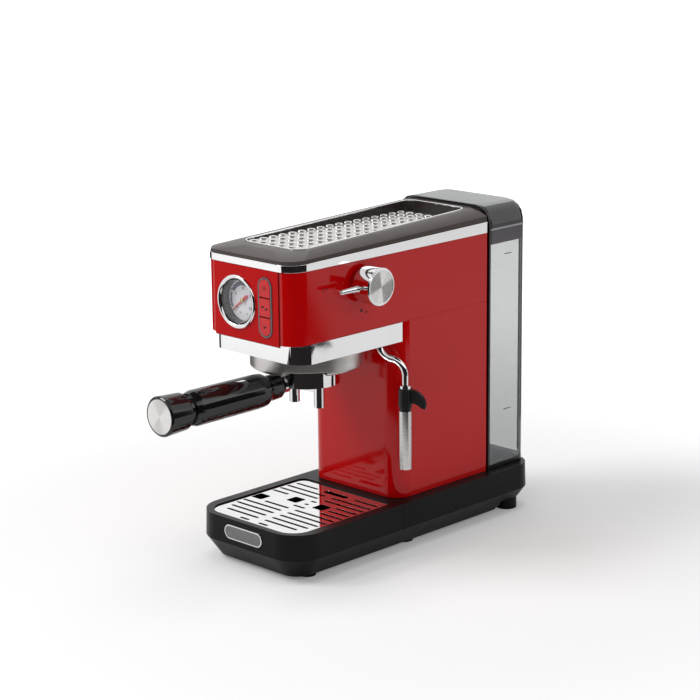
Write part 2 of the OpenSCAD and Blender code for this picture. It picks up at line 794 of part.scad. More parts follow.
bracket_t = 1.8;
block_z = head_z + shell_t + bracket_t;
block_w = 76;
block_d = 76;
block_h = 34;
block_front = group_y - block_d / 2;
block_top = block_z + block_h;

module boiler_bracket() {
    color([0.66, 0.66, 0.66]) place() difference() {
        box(-block_w / 2 - 6, block_w / 2 + 6, block_front + 2, block_front + block_d - 2, head_z + shell_t, block_z);
        for (x = [-1, 1]) for (y = [12, block_d - 12])
            rod_z(2, x * (block_w / 2 + 3), block_front + y, head_z, block_z + cutter);
    }
}

module thermoblock() {
    color([0.60, 0.60, 0.60]) place() difference() {
        union() {
            block(block_w, block_front, block_front + block_d, 8, 8, block_z, block_top);
            rod_y(5, gauge_x, block_front - 5, block_front + 2, gauge_z);
            rod_y(5, 0, block_front + block_d - 1, block_front + block_d + 6, block_z + 20);
        }
        rod_y(1.25, gauge_x, block_front - 7, block_front + 3, gauge_z);
        rod_y(3, 0, block_front + block_d, block_front + block_d + 7, block_z + 20);
    }
}

module heating_element() {
    ring = 26;
    r = 3.6;
    color([0.45, 0.45, 0.46]) place() translate([0, group_y, block_top + r]) {
        rotate_extrude(angle = 300) translate([ring, 0]) circle(r = r);
        for (a = [0, 300]) rotate([0, 0, a]) translate([ring, 0, 0]) cylinder(r = 2, h = 7);
    }
}

module thermostat() {
    color([0.80, 0.78, 0.72]) place() {
        rod_z(8, 0, group_y, block_top, block_top + 6);
        box(-1.5, 1.5, group_y - 6, group_y - 5, block_top + 5, block_top + 12);
        box(-1.5, 1.5, group_y + 5, group_y + 6, block_top + 5, block_top + 12);
    }
}

// ---------------------------------------------------------------- steam

valve_in = block_w / 2 + 1;
valve_out = body_w / 2 - shell_t;
valve_half = 10;
feed_r = 2.4;
feed_z = knob_z - 4;

module steam_valve_body() {
    color([0.75, 0.58, 0.28]) place() difference() {
        union() {
            box(valve_in, valve_out, knob_y - valve_half, knob_y + valve_half, knob_z - valve_half, knob_z + valve_half);
            box(valve_in - 1, valve_in + 1, knob_y - 6, knob_y + 6, block_top - 10, block_top - 1);
        }
        rod_x(spindle_r + running, valve_in + 4, valve_out + cutter, knob_y, knob_z);
        rod_y(feed_r, wand_x, knob_y + 4, knob_y + valve_half + cutter, feed_z);
    }
}

module steam_feed_pipe() {
    color([0.78, 0.48, 0.30]) place() {
        rod_y(feed_r - 0.05, wand_x, knob_y + 5, wand_y, feed_z);
        translate([wand_x, wand_y, feed_z]) sphere(r = feed_r + 0.8);
        rod_z(feed_r - 0.05, wand_x, wand_y, socket_top + loose, feed_z);
    }
}

stem_r = 4;
socket_r = 7.5;
upper_bend = 14;             // radii of the wand's two bends
lower_bend = 15;
bend_turn = 76;              // how far each bend turns, in degrees
bend_top = skirt_z;          // where the pipe passes into the upper bend
stem_z = skirt_z + 6.3;      // lower end of the stem that turns in the bush
flange_z = stem_z + 3.2;     // underside of the flange that keeps the stem in its bush
flange_h = 2.4;
socket_top = flange_z + flange_h + 2.8;
wand_hole_r = wand_r + 2.2;  // way for the pipe through the skirt's floor

// Bearing of the wand: a bush that stands on the skirt's floor
module wand_socket() {
    color([0.82, 0.82, 0.83]) place() difference() {
        rod_z(socket_r, wand_x, wand_y, skirt_z + skirt_t, socket_top);
        rod_z(wand_hole_r, wand_x, wand_y, skirt_z + skirt_t - cutter, stem_z);
        rod_z(stem_r + running, wand_x, wand_y, stem_z - cutter, flange_z + cutter / 2);
        rod_z(stem_r + 1.6, wand_x, wand_y, flange_z - loose, flange_z + flange_h + loose);
        rod_z(feed_r, wand_x, wand_y, flange_z + flange_h, socket_top + cutter);
    }
}

wand_low = wand_tip_z + sleeve_l;        // top of the frothing sleeve
pipe_low = wand_tip_z + 20;
bend_run = (wand_bend - (upper_bend + lower_bend) * (1 - cos(bend_turn))) / sin(bend_turn);
bend_z = bend_top - (upper_bend + lower_bend) * sin(bend_turn) - bend_run * cos(bend_turn);
ring_h = 3;
seam = 0.4;                 // how far a bend runs into its neighbours

module wand_frame() {
    translate([wand_x, wand_y, 0]) rotate([0, 0, wand_turn]) children();
}

module bent_pipe(bend) {
    rotate_extrude(angle = bend_turn) translate([bend, 0]) circle(r = wand_r - 0.02);
}

// Stem, the two bends with a swaged sleeve between them, and the straight pipe
module steam_wand() {
    color([0.85, 0.85, 0.86]) place() wand_frame() difference() {
        union() {
            rod_z(stem_r, 0, 0, stem_z - seam, flange_z + skin);
            rod_z(wand_r, 0, 0, bend_top - seam, stem_z);
            rod_z(stem_r + 1.3, 0, 0, flange_z, flange_z + flange_h);
            translate([upper_bend, 0, bend_top]) {
                rotate([90, 0, 0]) rotate([0, 0, 180]) bent_pipe(upper_bend);
                rotate([0, -bend_turn, 0]) translate([-upper_bend, 0, -bend_run]) {
                    translate([0, 0, -seam]) cylinder(r = wand_r + 0.8, h = bend_run + 2 * seam);
                    translate([-lower_bend, 0, 0]) {
                        rotate([90, 0, 0]) rotate([0, 0, -bend_turn]) bent_pipe(lower_bend);
                        rotate([0, bend_turn, 0]) translate([lower_bend, 0, pipe_low - bend_z])
                            cylinder(r = wand_r, h = bend_z - pipe_low + seam);
                    }
                }
            }
            rod_z(grip_r - grip_neck, wand_bend, 0, wand_low + grip_l, wand_low + grip_l + ring_h);
        }
        rod_z(1.5, 0, 0, stem_z + 1, flange_z + flange_h + cutter);
    }
}

grip_neck = 1.1;             // step in from the grip to its neck
fin_rim = 1.5;

// Side view of the thumb fin, drawn in by inset along its outer edge
module fin(inset) {
    difference() {
        intersection() {
            circle(r = fin_r - inset);
            translate([0, -2.6]) square([fin_r, fin_r + 2.6]);
        }
        translate([0.5, -11.8]) circle(r = 13.5);
    }
}

module wand_grip() {
    color([0.06, 0.06, 0.06]) place() wand_frame() difference() {
        union() {
            rod_z(grip_r, wand_bend, 0, wand_low + 4, wand_low + grip_l);
            rod_z(grip_r - grip_neck, wand_bend, 0, wand_low + loose, wand_low + 4 + skin);
            translate([wand_bend + fin_root, 0, wand_low + grip_l - fin_r - 0.6]) rotate([90, 0, 0]) {
                translate([0, 0, -fin_half / 2]) linear_extrude(fin_half) fin(skin);
                translate([0, 0, -fin_half]) linear_extrude(2 * fin_half) difference() {
                    fin(0);
                    circle(r = fin_r - fin_rim);
                }
            }
        }
        rod_z(wand_r + 0.02, wand_bend, 0, wand_low - cutter, wand_low + grip_l + 5);
    }
}

module frothing_sleeve() {
    color([0.72, 0.72, 0.73]) place() wand_frame() difference() {
        rod_z(sleeve_r, wand_bend, 0, wand_tip_z, wand_low);
        rod_z(sleeve_r - 1, wand_bend, 0, wand_tip_z - cutter, wand_tip_z + 16);
        rod_z(wand_r + 0.02, wand_bend, 0, wand_tip_z, wand_low + cutter);
        rod_x(0.8, wand_bend, wand_bend + sleeve_r + cutter, 0, wand_low - 16);
    }
}

hub_r = 8;

module steam_knob() {
    x0 = body_w / 2 + knob_standoff;
    color([0.85, 0.85, 0.86]) place() difference() {
        union() {
            rod_x(knob_r, x0, knob_end - 1, knob_y, knob_z);
            rod_x(knob_r - 1, knob_end - 1.2, knob_end, knob_y, knob_z);
            rod_x(hub_r, body_w / 2 + loose, x0 + cutter, knob_y, knob_z);
        }
        rod_x(spindle_r, body_w / 2, x0 + 8, knob_y, knob_z);
        rod_x(knob_r - 2.4, knob_end - 0.5, knob_end + cutter, knob_y, knob_z);
    }
}

module knob_lever() {
    x = body_w / 2 + knob_standoff + knob_l / 2 - 1;
    neck_l = 2.6;
    ring_t = 1.2;
    root_r = 2.9;
    tip_r = 2.2;
    color([0.85, 0.85, 0.86]) place() translate([x, knob_y, knob_z]) rotate([90, 0, 0]) {
        translate([0, 0, knob_r - 0.4]) cylinder(r = 1.6, h = neck_l + 0.4 + skin);
        translate([0, 0, knob_r + neck_l]) cylinder(r = root_r + 0.4, h = ring_t);
        translate([0, 0, knob_r + neck_l + ring_t - skin])
            cylinder(r1 = root_r, r2 = tip_r, h = lever_l - knob_r - neck_l - ring_t - tip_r + skin);
        translate([0, 0, lever_l - tip_r]) sphere(r = tip_r);
    }
}

module valve_spindle() {
    color([0.75, 0.58, 0.28]) place() {
        rod_x(spindle_r - 0.01, body_w / 2 - shell_t - 9, body_w / 2 + knob_standoff + 7.5, knob_y, knob_z);
    }
}

// ---------------------------------------------------------------- pump, hoses, electronics

pump_x = 8;
pump_y = head_d - 42;
coil_half = 20;
coil_z = deck_z + 40;
coil_h = 44;
pump_r = 11;
pump_low = coil_z - 22;
pump_high = coil_z + coil_h + 20;
hose_r = 3;
hose_z = floor_z + 16;
plate_y = head_d - shell_t;

module vibration_pump() {
    color([0.55, 0.50, 0.42]) place() {
        box(pump_x - coil_half, pump_x + coil_half, pump_y - coil_half, pump_y + coil_half, coil_z, coil_z + coil_h);
        rod_z(pump_r, pump_x, pump_y, pump_low, pump_high);
        rod_z(hose_r - 0.8, pump_x, pump_y, pump_low - 10, pump_low + 1);
    }
}

// Rubber blocks that hang the pump from the column's rear wall
module pump_mounts() {
    color([0.12, 0.12, 0.12]) place() for (z = [coil_z + 4, coil_z + coil_h - 14])
        box(pump_x - 10, pump_x + 10, pump_y + coil_half, plate_y, z, z + 10);
}

module relief_valve() {
    color([0.75, 0.58, 0.28]) place() {
        rod_z(8, pump_x, pump_y, pump_high, pump_high + 16);
        rod_y(4, pump_x, pump_y - 18, pump_y - 6, pump_high + 8);
    }
}

module suction_hose() {
    color([0.85, 0.85, 0.82]) place() {
        difference() {
            rod_z(hose_r, pump_x, pump_y, hose_z, pump_low - 2);
            rod_z(hose_r - 0.75, pump_x, pump_y, pump_low - 10.5, pump_low);
        }
        translate([pump_x, pump_y, hose_z]) sphere(r = hose_r);
        rod_y(hose_r, pump_x, pump_y, dock_y, hose_z);
        translate([pump_x, dock_y, hose_z]) sphere(r = hose_r);
        rod_x(hose_r, dock_x, pump_x, dock_y, hose_z);
        translate([dock_x, dock_y, hose_z]) sphere(r = hose_r);
        rod_z(hose_r, dock_x, dock_y, hose_z, deck_z - 18);
    }
}

module pressure_hose() {
    z = block_z + 20;
    color([0.85, 0.85, 0.82]) place() {
        rod_z(hose_r, pump_x, pump_y, pump_high + 16, z);
        translate([pump_x, pump_y, z]) sphere(r = hose_r);
        rod_y(hose_r, pump_x, column_y + 30, pump_y, z);
        translate([pump_x, column_y + 30, z]) sphere(r = hose_r);
        rod_x(hose_r, 0, pump_x, column_y + 30, z);
        translate([0, column_y + 30, z]) sphere(r = hose_r);
        rod_y(hose_r, 0, block_front + block_d + 6, column_y + 30, z);
    }
}

board_gap = 6;
board_x = shell_t + board_gap - body_w / 2;
board_corners = [for (y = [column_y + 30, head_d - 30]) for (z = [deck_z + 40, deck_z + 130]) [y, z]];

module control_board() {
    color([0.05, 0.30, 0.15]) place() {
        box(board_x, board_x + 1.6, column_y + 24, head_d - 24, deck_z + 34, deck_z + 136);
        box(board_x + 1.6, board_x + 22, column_y + 40, column_y + 60, deck_z + 50, deck_z + 72);
        box(board_x + 1.6, board_x + 16, column_y + 44, column_y + 66, deck_z + 88, deck_z + 102);
        rod_x(6, board_x + 1.6, board_x + 18, head_d - 44, deck_z + 110);
    }
}

module board_posts() {
    color([0.75, 0.58, 0.28]) place() for (p = board_corners) rod_x(3, shell_t - body_w / 2, board_x, p[0], p[1]);
}

// ---------------------------------------------------------------- portafilter

cup_wall = 1.6;
cup_floor = 3;
cup_top = lug_z + 6;
cup_in = cup_r - cup_wall - 1;
basket_wall = 0.8;

module portafilter_body() {
    color([0.80, 0.80, 0.81]) place() translate([0, group_y, 0]) difference() {
        union() {
            rod_z(cup_r, 0, 0, cup_z, cup_top);
            // bayonet lugs, resting on the collar's ledge
            intersection() {
                rod_z(collar_bore_r - 1, 0, 0, lug_z + 0.3, lug_z + 4);
                bow(collar_bore_r, lug_half, 0, lug_z, lug_z + 5);
            }
            rod_z(9, 0, 0, cup_z - 5, cup_z);
            // arm of the twin spout
            box(-spout_x, spout_x, -4, 4, cup_z - 8, cup_z - 2.5);
            for (side = [-1, 1]) {
                rod_z(spout_r, side * spout_x, 0, spout_z, cup_z - 1.5);
                translate([side * spout_x, 0, cup_z - 1.5]) sphere(r = spout_r);
            }
            // socket that carries the handle
            rod_y(8, 0, -handle_root - 2, -cup_r + 4, handle_z);
        }
        rod_z(cup_in, 0, 0, cup_z + cup_floor, cup_top + cutter);
        rod_z(3, 0, 0, cup_z - 5, cup_z + cup_floor + cutter);
        for (side = [-1, 1]) rod_z(spout_r - 1.4, side * spout_x, 0, spout_z - cutter, cup_z - 5);
        rod_x(2.4, -spout_x, spout_x, 0, cup_z - 5.2);
    }
}

handle_root = cup_r + 3.5;   // distance from the group's axis to the root of the handle
cap_start = handle_reach - cap_l;

module filter_basket() {
    color([0.78, 0.78, 0.79]) place() translate([0, group_y, 0]) difference() {
        union() {
            rod_z(cup_in - 0.3, 0, 0, cup_z + cup_floor + 1, cup_top);
            rod_z(cup_r - 0.4, 0, 0, cup_top, cup_top + 1);
        }
        rod_z(cup_in - 0.3 - basket_wall, 0, 0, cup_z + cup_floor + 1 + basket_wall, cup_top + 2);
        for (ring = [1, 2, 3]) for (i = [0 : 6 * ring - 1])
            rotate([0, 0, i * 60 / ring]) rod_z(0.7, 6.5 * ring, 0, cup_z, cup_z + cup_floor + 3, $fn = 16);
    }
}

// Grip that swells towards its end
module portafilter_handle() {
    groove = 4;
    color([0.05, 0.05, 0.05]) place() translate([0, group_y, handle_z]) rotate([90, 0, 0]) difference() {
        rotate_extrude() {
            polygon([[0, handle_root - 1], [handle_root_r - 3, handle_root - 1], [handle_root_r, handle_root + 4],
                     [handle_root_r + 0.6, handle_root + 18], [handle_end_r - 1, handle_root + 23],
                     [handle_end_r - 0.4, handle_root + 32], [handle_end_r, cap_start - groove - 7],
                     [handle_end_r - 2, cap_start - groove], [0, cap_start - groove]]);
            translate([0, cap_start - groove - cutter]) square([cap_r - 5.7, groove + cutter]);
        }
        translate([0, 0, handle_root - 8]) cylinder(r = 8.05, h = 10);
    }
}

module handle_cap() {
    color([0.06, 0.06, 0.06]) place() translate([0, group_y, handle_z]) rotate([90, 0, 0]) difference() {
        rotate_extrude() polygon([[0, cap_start], [cap_r - 5.2, cap_start], [cap_r - 1.2, cap_start + 4],
            [cap_r, handle_reach - 1.5], [cap_r - 1.5, handle_reach], [0, handle_reach]]);
        translate([0, 0, handle_reach - 0.8]) cylinder(r = cap_r - 2.6, h = 2);
    }
}

// ---------------------------------------------------------------- drip tray

tray_floor = floor_z + 3;
grille_w = base_w - 2 * grille_rim;
grille_front = 7 - base_front;
grille_rear = split_y - 5;
grille_r = 19;
seat_z = deck_z - grille_t - 1.2;
tray_foot_y = 24;

module drip_tray() {
    color([0.10, 0.10, 0.10]) place() {
        difference() {
            intersection() {
                base_form(0, floor_z, deck_z);
                box(-base_w, base_w, -base_front - cutter, split_y, -cutter, deck_z + cutter);
            }
            // well that catches the water
            block(grille_w - 6, grille_front + 3, grille_rear - 3, grille_r - 3, 5, crease_z, deck_z + cutter);
            block(grille_w - 2 * base_chamfer - 4, grille_front + base_chamfer, grille_rear - 3,
                  grille_r - 8, 5, tray_floor, crease_z + cutter);
            // seat of the grille
            block(grille_w, grille_front, grille_rear, grille_r, 8, seat_z, deck_z + cutter);
            // sockets for the pegs of the base
            for (side = [-1, 1]) rod_y(peg_r + 0.1, side * peg_x, split_y - peg_l - 1, split_y + cutter, peg_z);
        }
        for (side = [-1, 1]) foot(foot_r, side * foot_x, tray_foot_y, floor_z);
    }
}

// Slot along X in the grille's plane
module slot(x0, x1, y) {
    r = slot_w / 2;
    translate([x0 + r, y - r]) square([x1 - x0 - slot_w, slot_w]);
    translate([x0 + r, y]) circle(r = r);
    translate([x1 - r, y]) circle(r = r);
}

slot_end = grille_w / 2 - 3.5;
row_0 = grille_front + 6.5;

// Height up the grille of row i
function row_y(i) = row_0 + i * slot_pitch;

module drip_grille() {
    hole = 13.5;
    finger_w = 6;
    finger_l = 24;
    color([0.78, 0.78, 0.79]) place() difference() {
        block(grille_w - 2 * loose, grille_front + loose, grille_rear - loose, grille_r - loose, 8 - loose,
              seat_z, seat_z + grille_t);
        translate([0, 0, seat_z - cutter]) linear_extrude(grille_t + 2 * cutter) {
            for (side = [0, 1]) mirror([side, 0]) {
                slot(bridge + 2, bridge + 14, row_y(0));
                slot(bridge, slot_end - 9, row_y(1));
                slot(bridge, slot_end - 4.5, row_y(2));
                slot(bridge, slot_end - 1.5, row_y(3));
                slot(bridge, slot_end, row_y(4));
                slot(bridge, slot_end, row_y(9));
                slot(bridge, slot_end, row_y(10));
                slot(24, slot_end - 2, row_y(11) + 0.8);
                translate([17, row_y(7) + 2.8]) rounded_square(hole);
            }
            slot(bridge, slot_end, row_y(5));
            slot(-36, -bridge, row_y(5));
            for (i = [6, 7, 8]) slot(28, slot_end, row_y(i));
            slot(-7.5, 7.5, row_y(6));
            slot(-2.6, 2.6, row_y(7));
            slot(-3.5, 3.5, row_y(8));
            slot(-slot_end, -34, row_y(8));
            translate([-48.5, row_y(6) - 2.7]) rounded_square(hole);
            // finger slot
            translate([0, row_y(11) + 0.8]) {
                square([finger_l, finger_w], center = true);
                for (side = [-1, 1]) translate([side * finger_l / 2, 0]) circle(r = finger_w / 2);
            }
        }
    }
}

module rounded_square(size) {
    r = 2;
    square([size, size - 2 * r], center = true);
    square([size - 2 * r, size], center = true);
    for (x = [-1, 1]) for (y = [-1, 1]) translate([x * (size / 2 - r), y * (size / 2 - r)]) circle(r = r);
}

// ---------------------------------------------------------------- water tank

tank_front = head_d + gasket_t + loose;
tank_low = deck_z + loose;
tank_top = overall_h - lid_h - loose;
tank_front_r = 2;
valve_r = 6;

module water_tank() {
    color([0.55, 0.58, 0.60, 0.45]) place() difference() {
        union() {
            difference() {
                block(body_w, tank_front, tank_rear, tank_front_r, tank_r, tank_low, tank_top);
                block(body_w - 2 * tank_t, tank_front + tank_t, tank_rear - tank_t, 1, tank_r - tank_t,
                      tank_low + 8, tank_top + cutter);
            }
            rod_z(valve_r + 3, dock_x, dock_y, tank_low + 4, tank_low + 16);
            rod_z(valve_r, dock_x, dock_y, deck_z - 4, tank_low + 2);
        }
        rod_z(valve_r - 3, dock_x, dock_y, deck_z - 10, tank_low + 20);
    }
}

// Lid slice, drawn in by inset
module lid_slice(z, inset) {
    translate([0, 0, z]) linear_extrude(skin)
        plan(body_w - 2 * inset, tank_front, tank_rear - inset / 2, tank_front_r, tank_r - inset / 3, $fn = 48);
}

module tank_lid() {
    low = overall_h - lid_h;
    color([0.35, 0.37, 0.38, 0.7]) place() difference() {
        union() {
            hull() {
                lid_slice(low, 0);
                for (s = shoulder) lid_slice(overall_h - s[0], s[1]);
            }
            block(body_w - 2 * tank_t - 2 * loose, tank_front + tank_t + loose, tank_rear - tank_t - loose, 1,
                  tank_r - tank_t - loose, low - 5, low + cutter);
        }
        block(body_w - 2 * tank_t - 12, tank_front + tank_t + 3, tank_rear - tank_t - 5, 1,
              tank_r - tank_t - 5, low - 6, overall_h - 7);
    }
}

base_pan();
base_bottom_plate();
middle_feet();
rear_feet();
base_screws();
column_shell();
head_shell();
head_trim_strip();
top_cover();
cup_rail();
cup_warming_plate();
tank_gasket();
tank_coupling();
cord_gland();
front_panel();
gauge_case();
gauge_bezel();
gauge_dial();
gauge_glass();
gauge_capillary();
gauge_needle();
button_frame();
switch_board();
button_top();
button_middle();
button_bottom();
group_skirt();
group_collar();
group_head();
group_gasket();
shower_screen();
shower_screw();
boiler_bracket();
thermoblock();
heating_element();
thermostat();
steam_valve_body();
steam_feed_pipe();
wand_socket();
vibration_pump();
pump_mounts();
relief_valve();
suction_hose();
pressure_hose();
control_board();
board_posts();
steam_knob();
knob_lever();
valve_spindle();
steam_wand();
wand_grip();
frothing_sleeve();
portafilter_body();
filter_basket();
portafilter_handle();
handle_cap();
drip_tray();
drip_grille();
water_tank();
tank_lid();
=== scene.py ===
import json
import math

import bmesh
import bpy
from mathutils import Matrix, Vector


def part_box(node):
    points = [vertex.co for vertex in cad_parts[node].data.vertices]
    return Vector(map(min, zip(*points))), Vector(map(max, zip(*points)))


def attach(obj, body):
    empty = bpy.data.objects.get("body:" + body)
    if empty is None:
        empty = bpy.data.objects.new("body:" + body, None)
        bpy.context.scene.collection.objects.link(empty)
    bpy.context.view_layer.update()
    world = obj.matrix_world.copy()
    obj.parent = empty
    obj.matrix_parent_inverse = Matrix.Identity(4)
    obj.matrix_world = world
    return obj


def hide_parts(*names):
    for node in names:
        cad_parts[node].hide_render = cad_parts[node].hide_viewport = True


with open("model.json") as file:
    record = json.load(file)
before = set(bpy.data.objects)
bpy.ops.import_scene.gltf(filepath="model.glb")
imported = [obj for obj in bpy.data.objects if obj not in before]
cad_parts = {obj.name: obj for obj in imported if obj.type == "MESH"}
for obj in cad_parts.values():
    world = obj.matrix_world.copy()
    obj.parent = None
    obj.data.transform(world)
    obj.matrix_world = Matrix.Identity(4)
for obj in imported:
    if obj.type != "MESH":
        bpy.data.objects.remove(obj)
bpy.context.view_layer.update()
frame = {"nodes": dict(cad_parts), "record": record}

nodes = frame["nodes"]
mm = 0.001
headLow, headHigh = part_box("head_shell")
# drafting datum of the machine: centre plane, front panel, worktop
datum = Vector(((headLow.x + headHigh.x) / 2, headLow.y, 0))
print("frame loaded:", len(nodes), "nodes")


def nodeBox(name):
    low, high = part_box(name)
    return (low - datum) / mm, (high - datum) / mm


# camera
cameraSettings = {"azimuth": 44.63, "elevation": 14.05, "roll": -0.62, "lens": 108.15, "sensor": 36,
                  "clipEnd": 60, "place": (1331, -1220, 655)}


def makeCamera(s):
    a, e, r = (math.radians(s[k]) for k in ("azimuth", "elevation", "roll"))
    back = Vector((math.sin(a) * math.cos(e), -math.cos(a) * math.cos(e), math.sin(e)))
    right = Vector((math.cos(a), math.sin(a), 0))
    up = back.cross(right)
    sideways = right * math.cos(r) + up * math.sin(r)
    upward = up * math.cos(r) - right * math.sin(r)
    data = bpy.data.cameras.new("photoCamera")
    data.lens = s["lens"]
    data.sensor_width = s["sensor"]
    data.clip_end = s["clipEnd"]
    camera = bpy.data.objects.new("photoCamera", data)
    turn = Matrix((sideways, upward, back)).transposed().to_4x4()
    camera.matrix_world = Matrix.Translation(Vector(s["place"]) * mm + datum) @ turn
    bpy.context.scene.collection.objects.link(camera)
    bpy.context.scene.camera = camera


makeCamera(cameraSettings)
bpy.context.scene.view_settings.view_transform = "Standard"
print("camera placed")


# materials
def newMaterial(name):
    material = bpy.data.materials.new(name)
    material.use_nodes = True
    tree = material.node_tree
    tree.nodes.clear()
    shader = tree.nodes.new("ShaderNodeBsdfPrincipled")
    output = tree.nodes.new("ShaderNodeOutputMaterial")
    tree.links.new(shader.outputs["BSDF"], output.inputs["Surface"])
    return material, tree, shader


# spread: the part of a noise that the shades and the gloss run over
noiseLook = {"spread": (0.3, 0.7), "detail": 3.0, "wearScale": 3.1, "wearDetail": 5.0, "bumpDetail": 2.0}


def noiseOf(tree, coords, scale, detail):
    noise = tree.nodes.new("ShaderNodeTexNoise")
    noise.inputs["Scale"].default_value = scale
    noise.inputs["Detail"].default_value = detail
    tree.links.new(coords, noise.inputs["Vector"])
    return noise.outputs["Fac"]


def rampOf(tree, value, low, high):
    ramp = tree.nodes.new("ShaderNodeValToRGB")
    for element, place, shade in zip(ramp.color_ramp.elements, noiseLook["spread"], (low, high)):
        element.position = place
        element.color = (*shade, 1)
    tree.links.new(value, ramp.inputs["Fac"])
    return ramp.outputs["Color"]


def rangeOf(tree, value, low, high):
    spread = tree.nodes.new("ShaderNodeMapRange")
    spread.inputs["From Min"].default_value, spread.inputs["From Max"].default_value = noiseLook["spread"]
    spread.inputs["To Min"].default_value, spread.inputs["To Max"].default_value = low, high
    tree.links.new(value, spread.inputs["Value"])
    return spread.outputs["Result"]


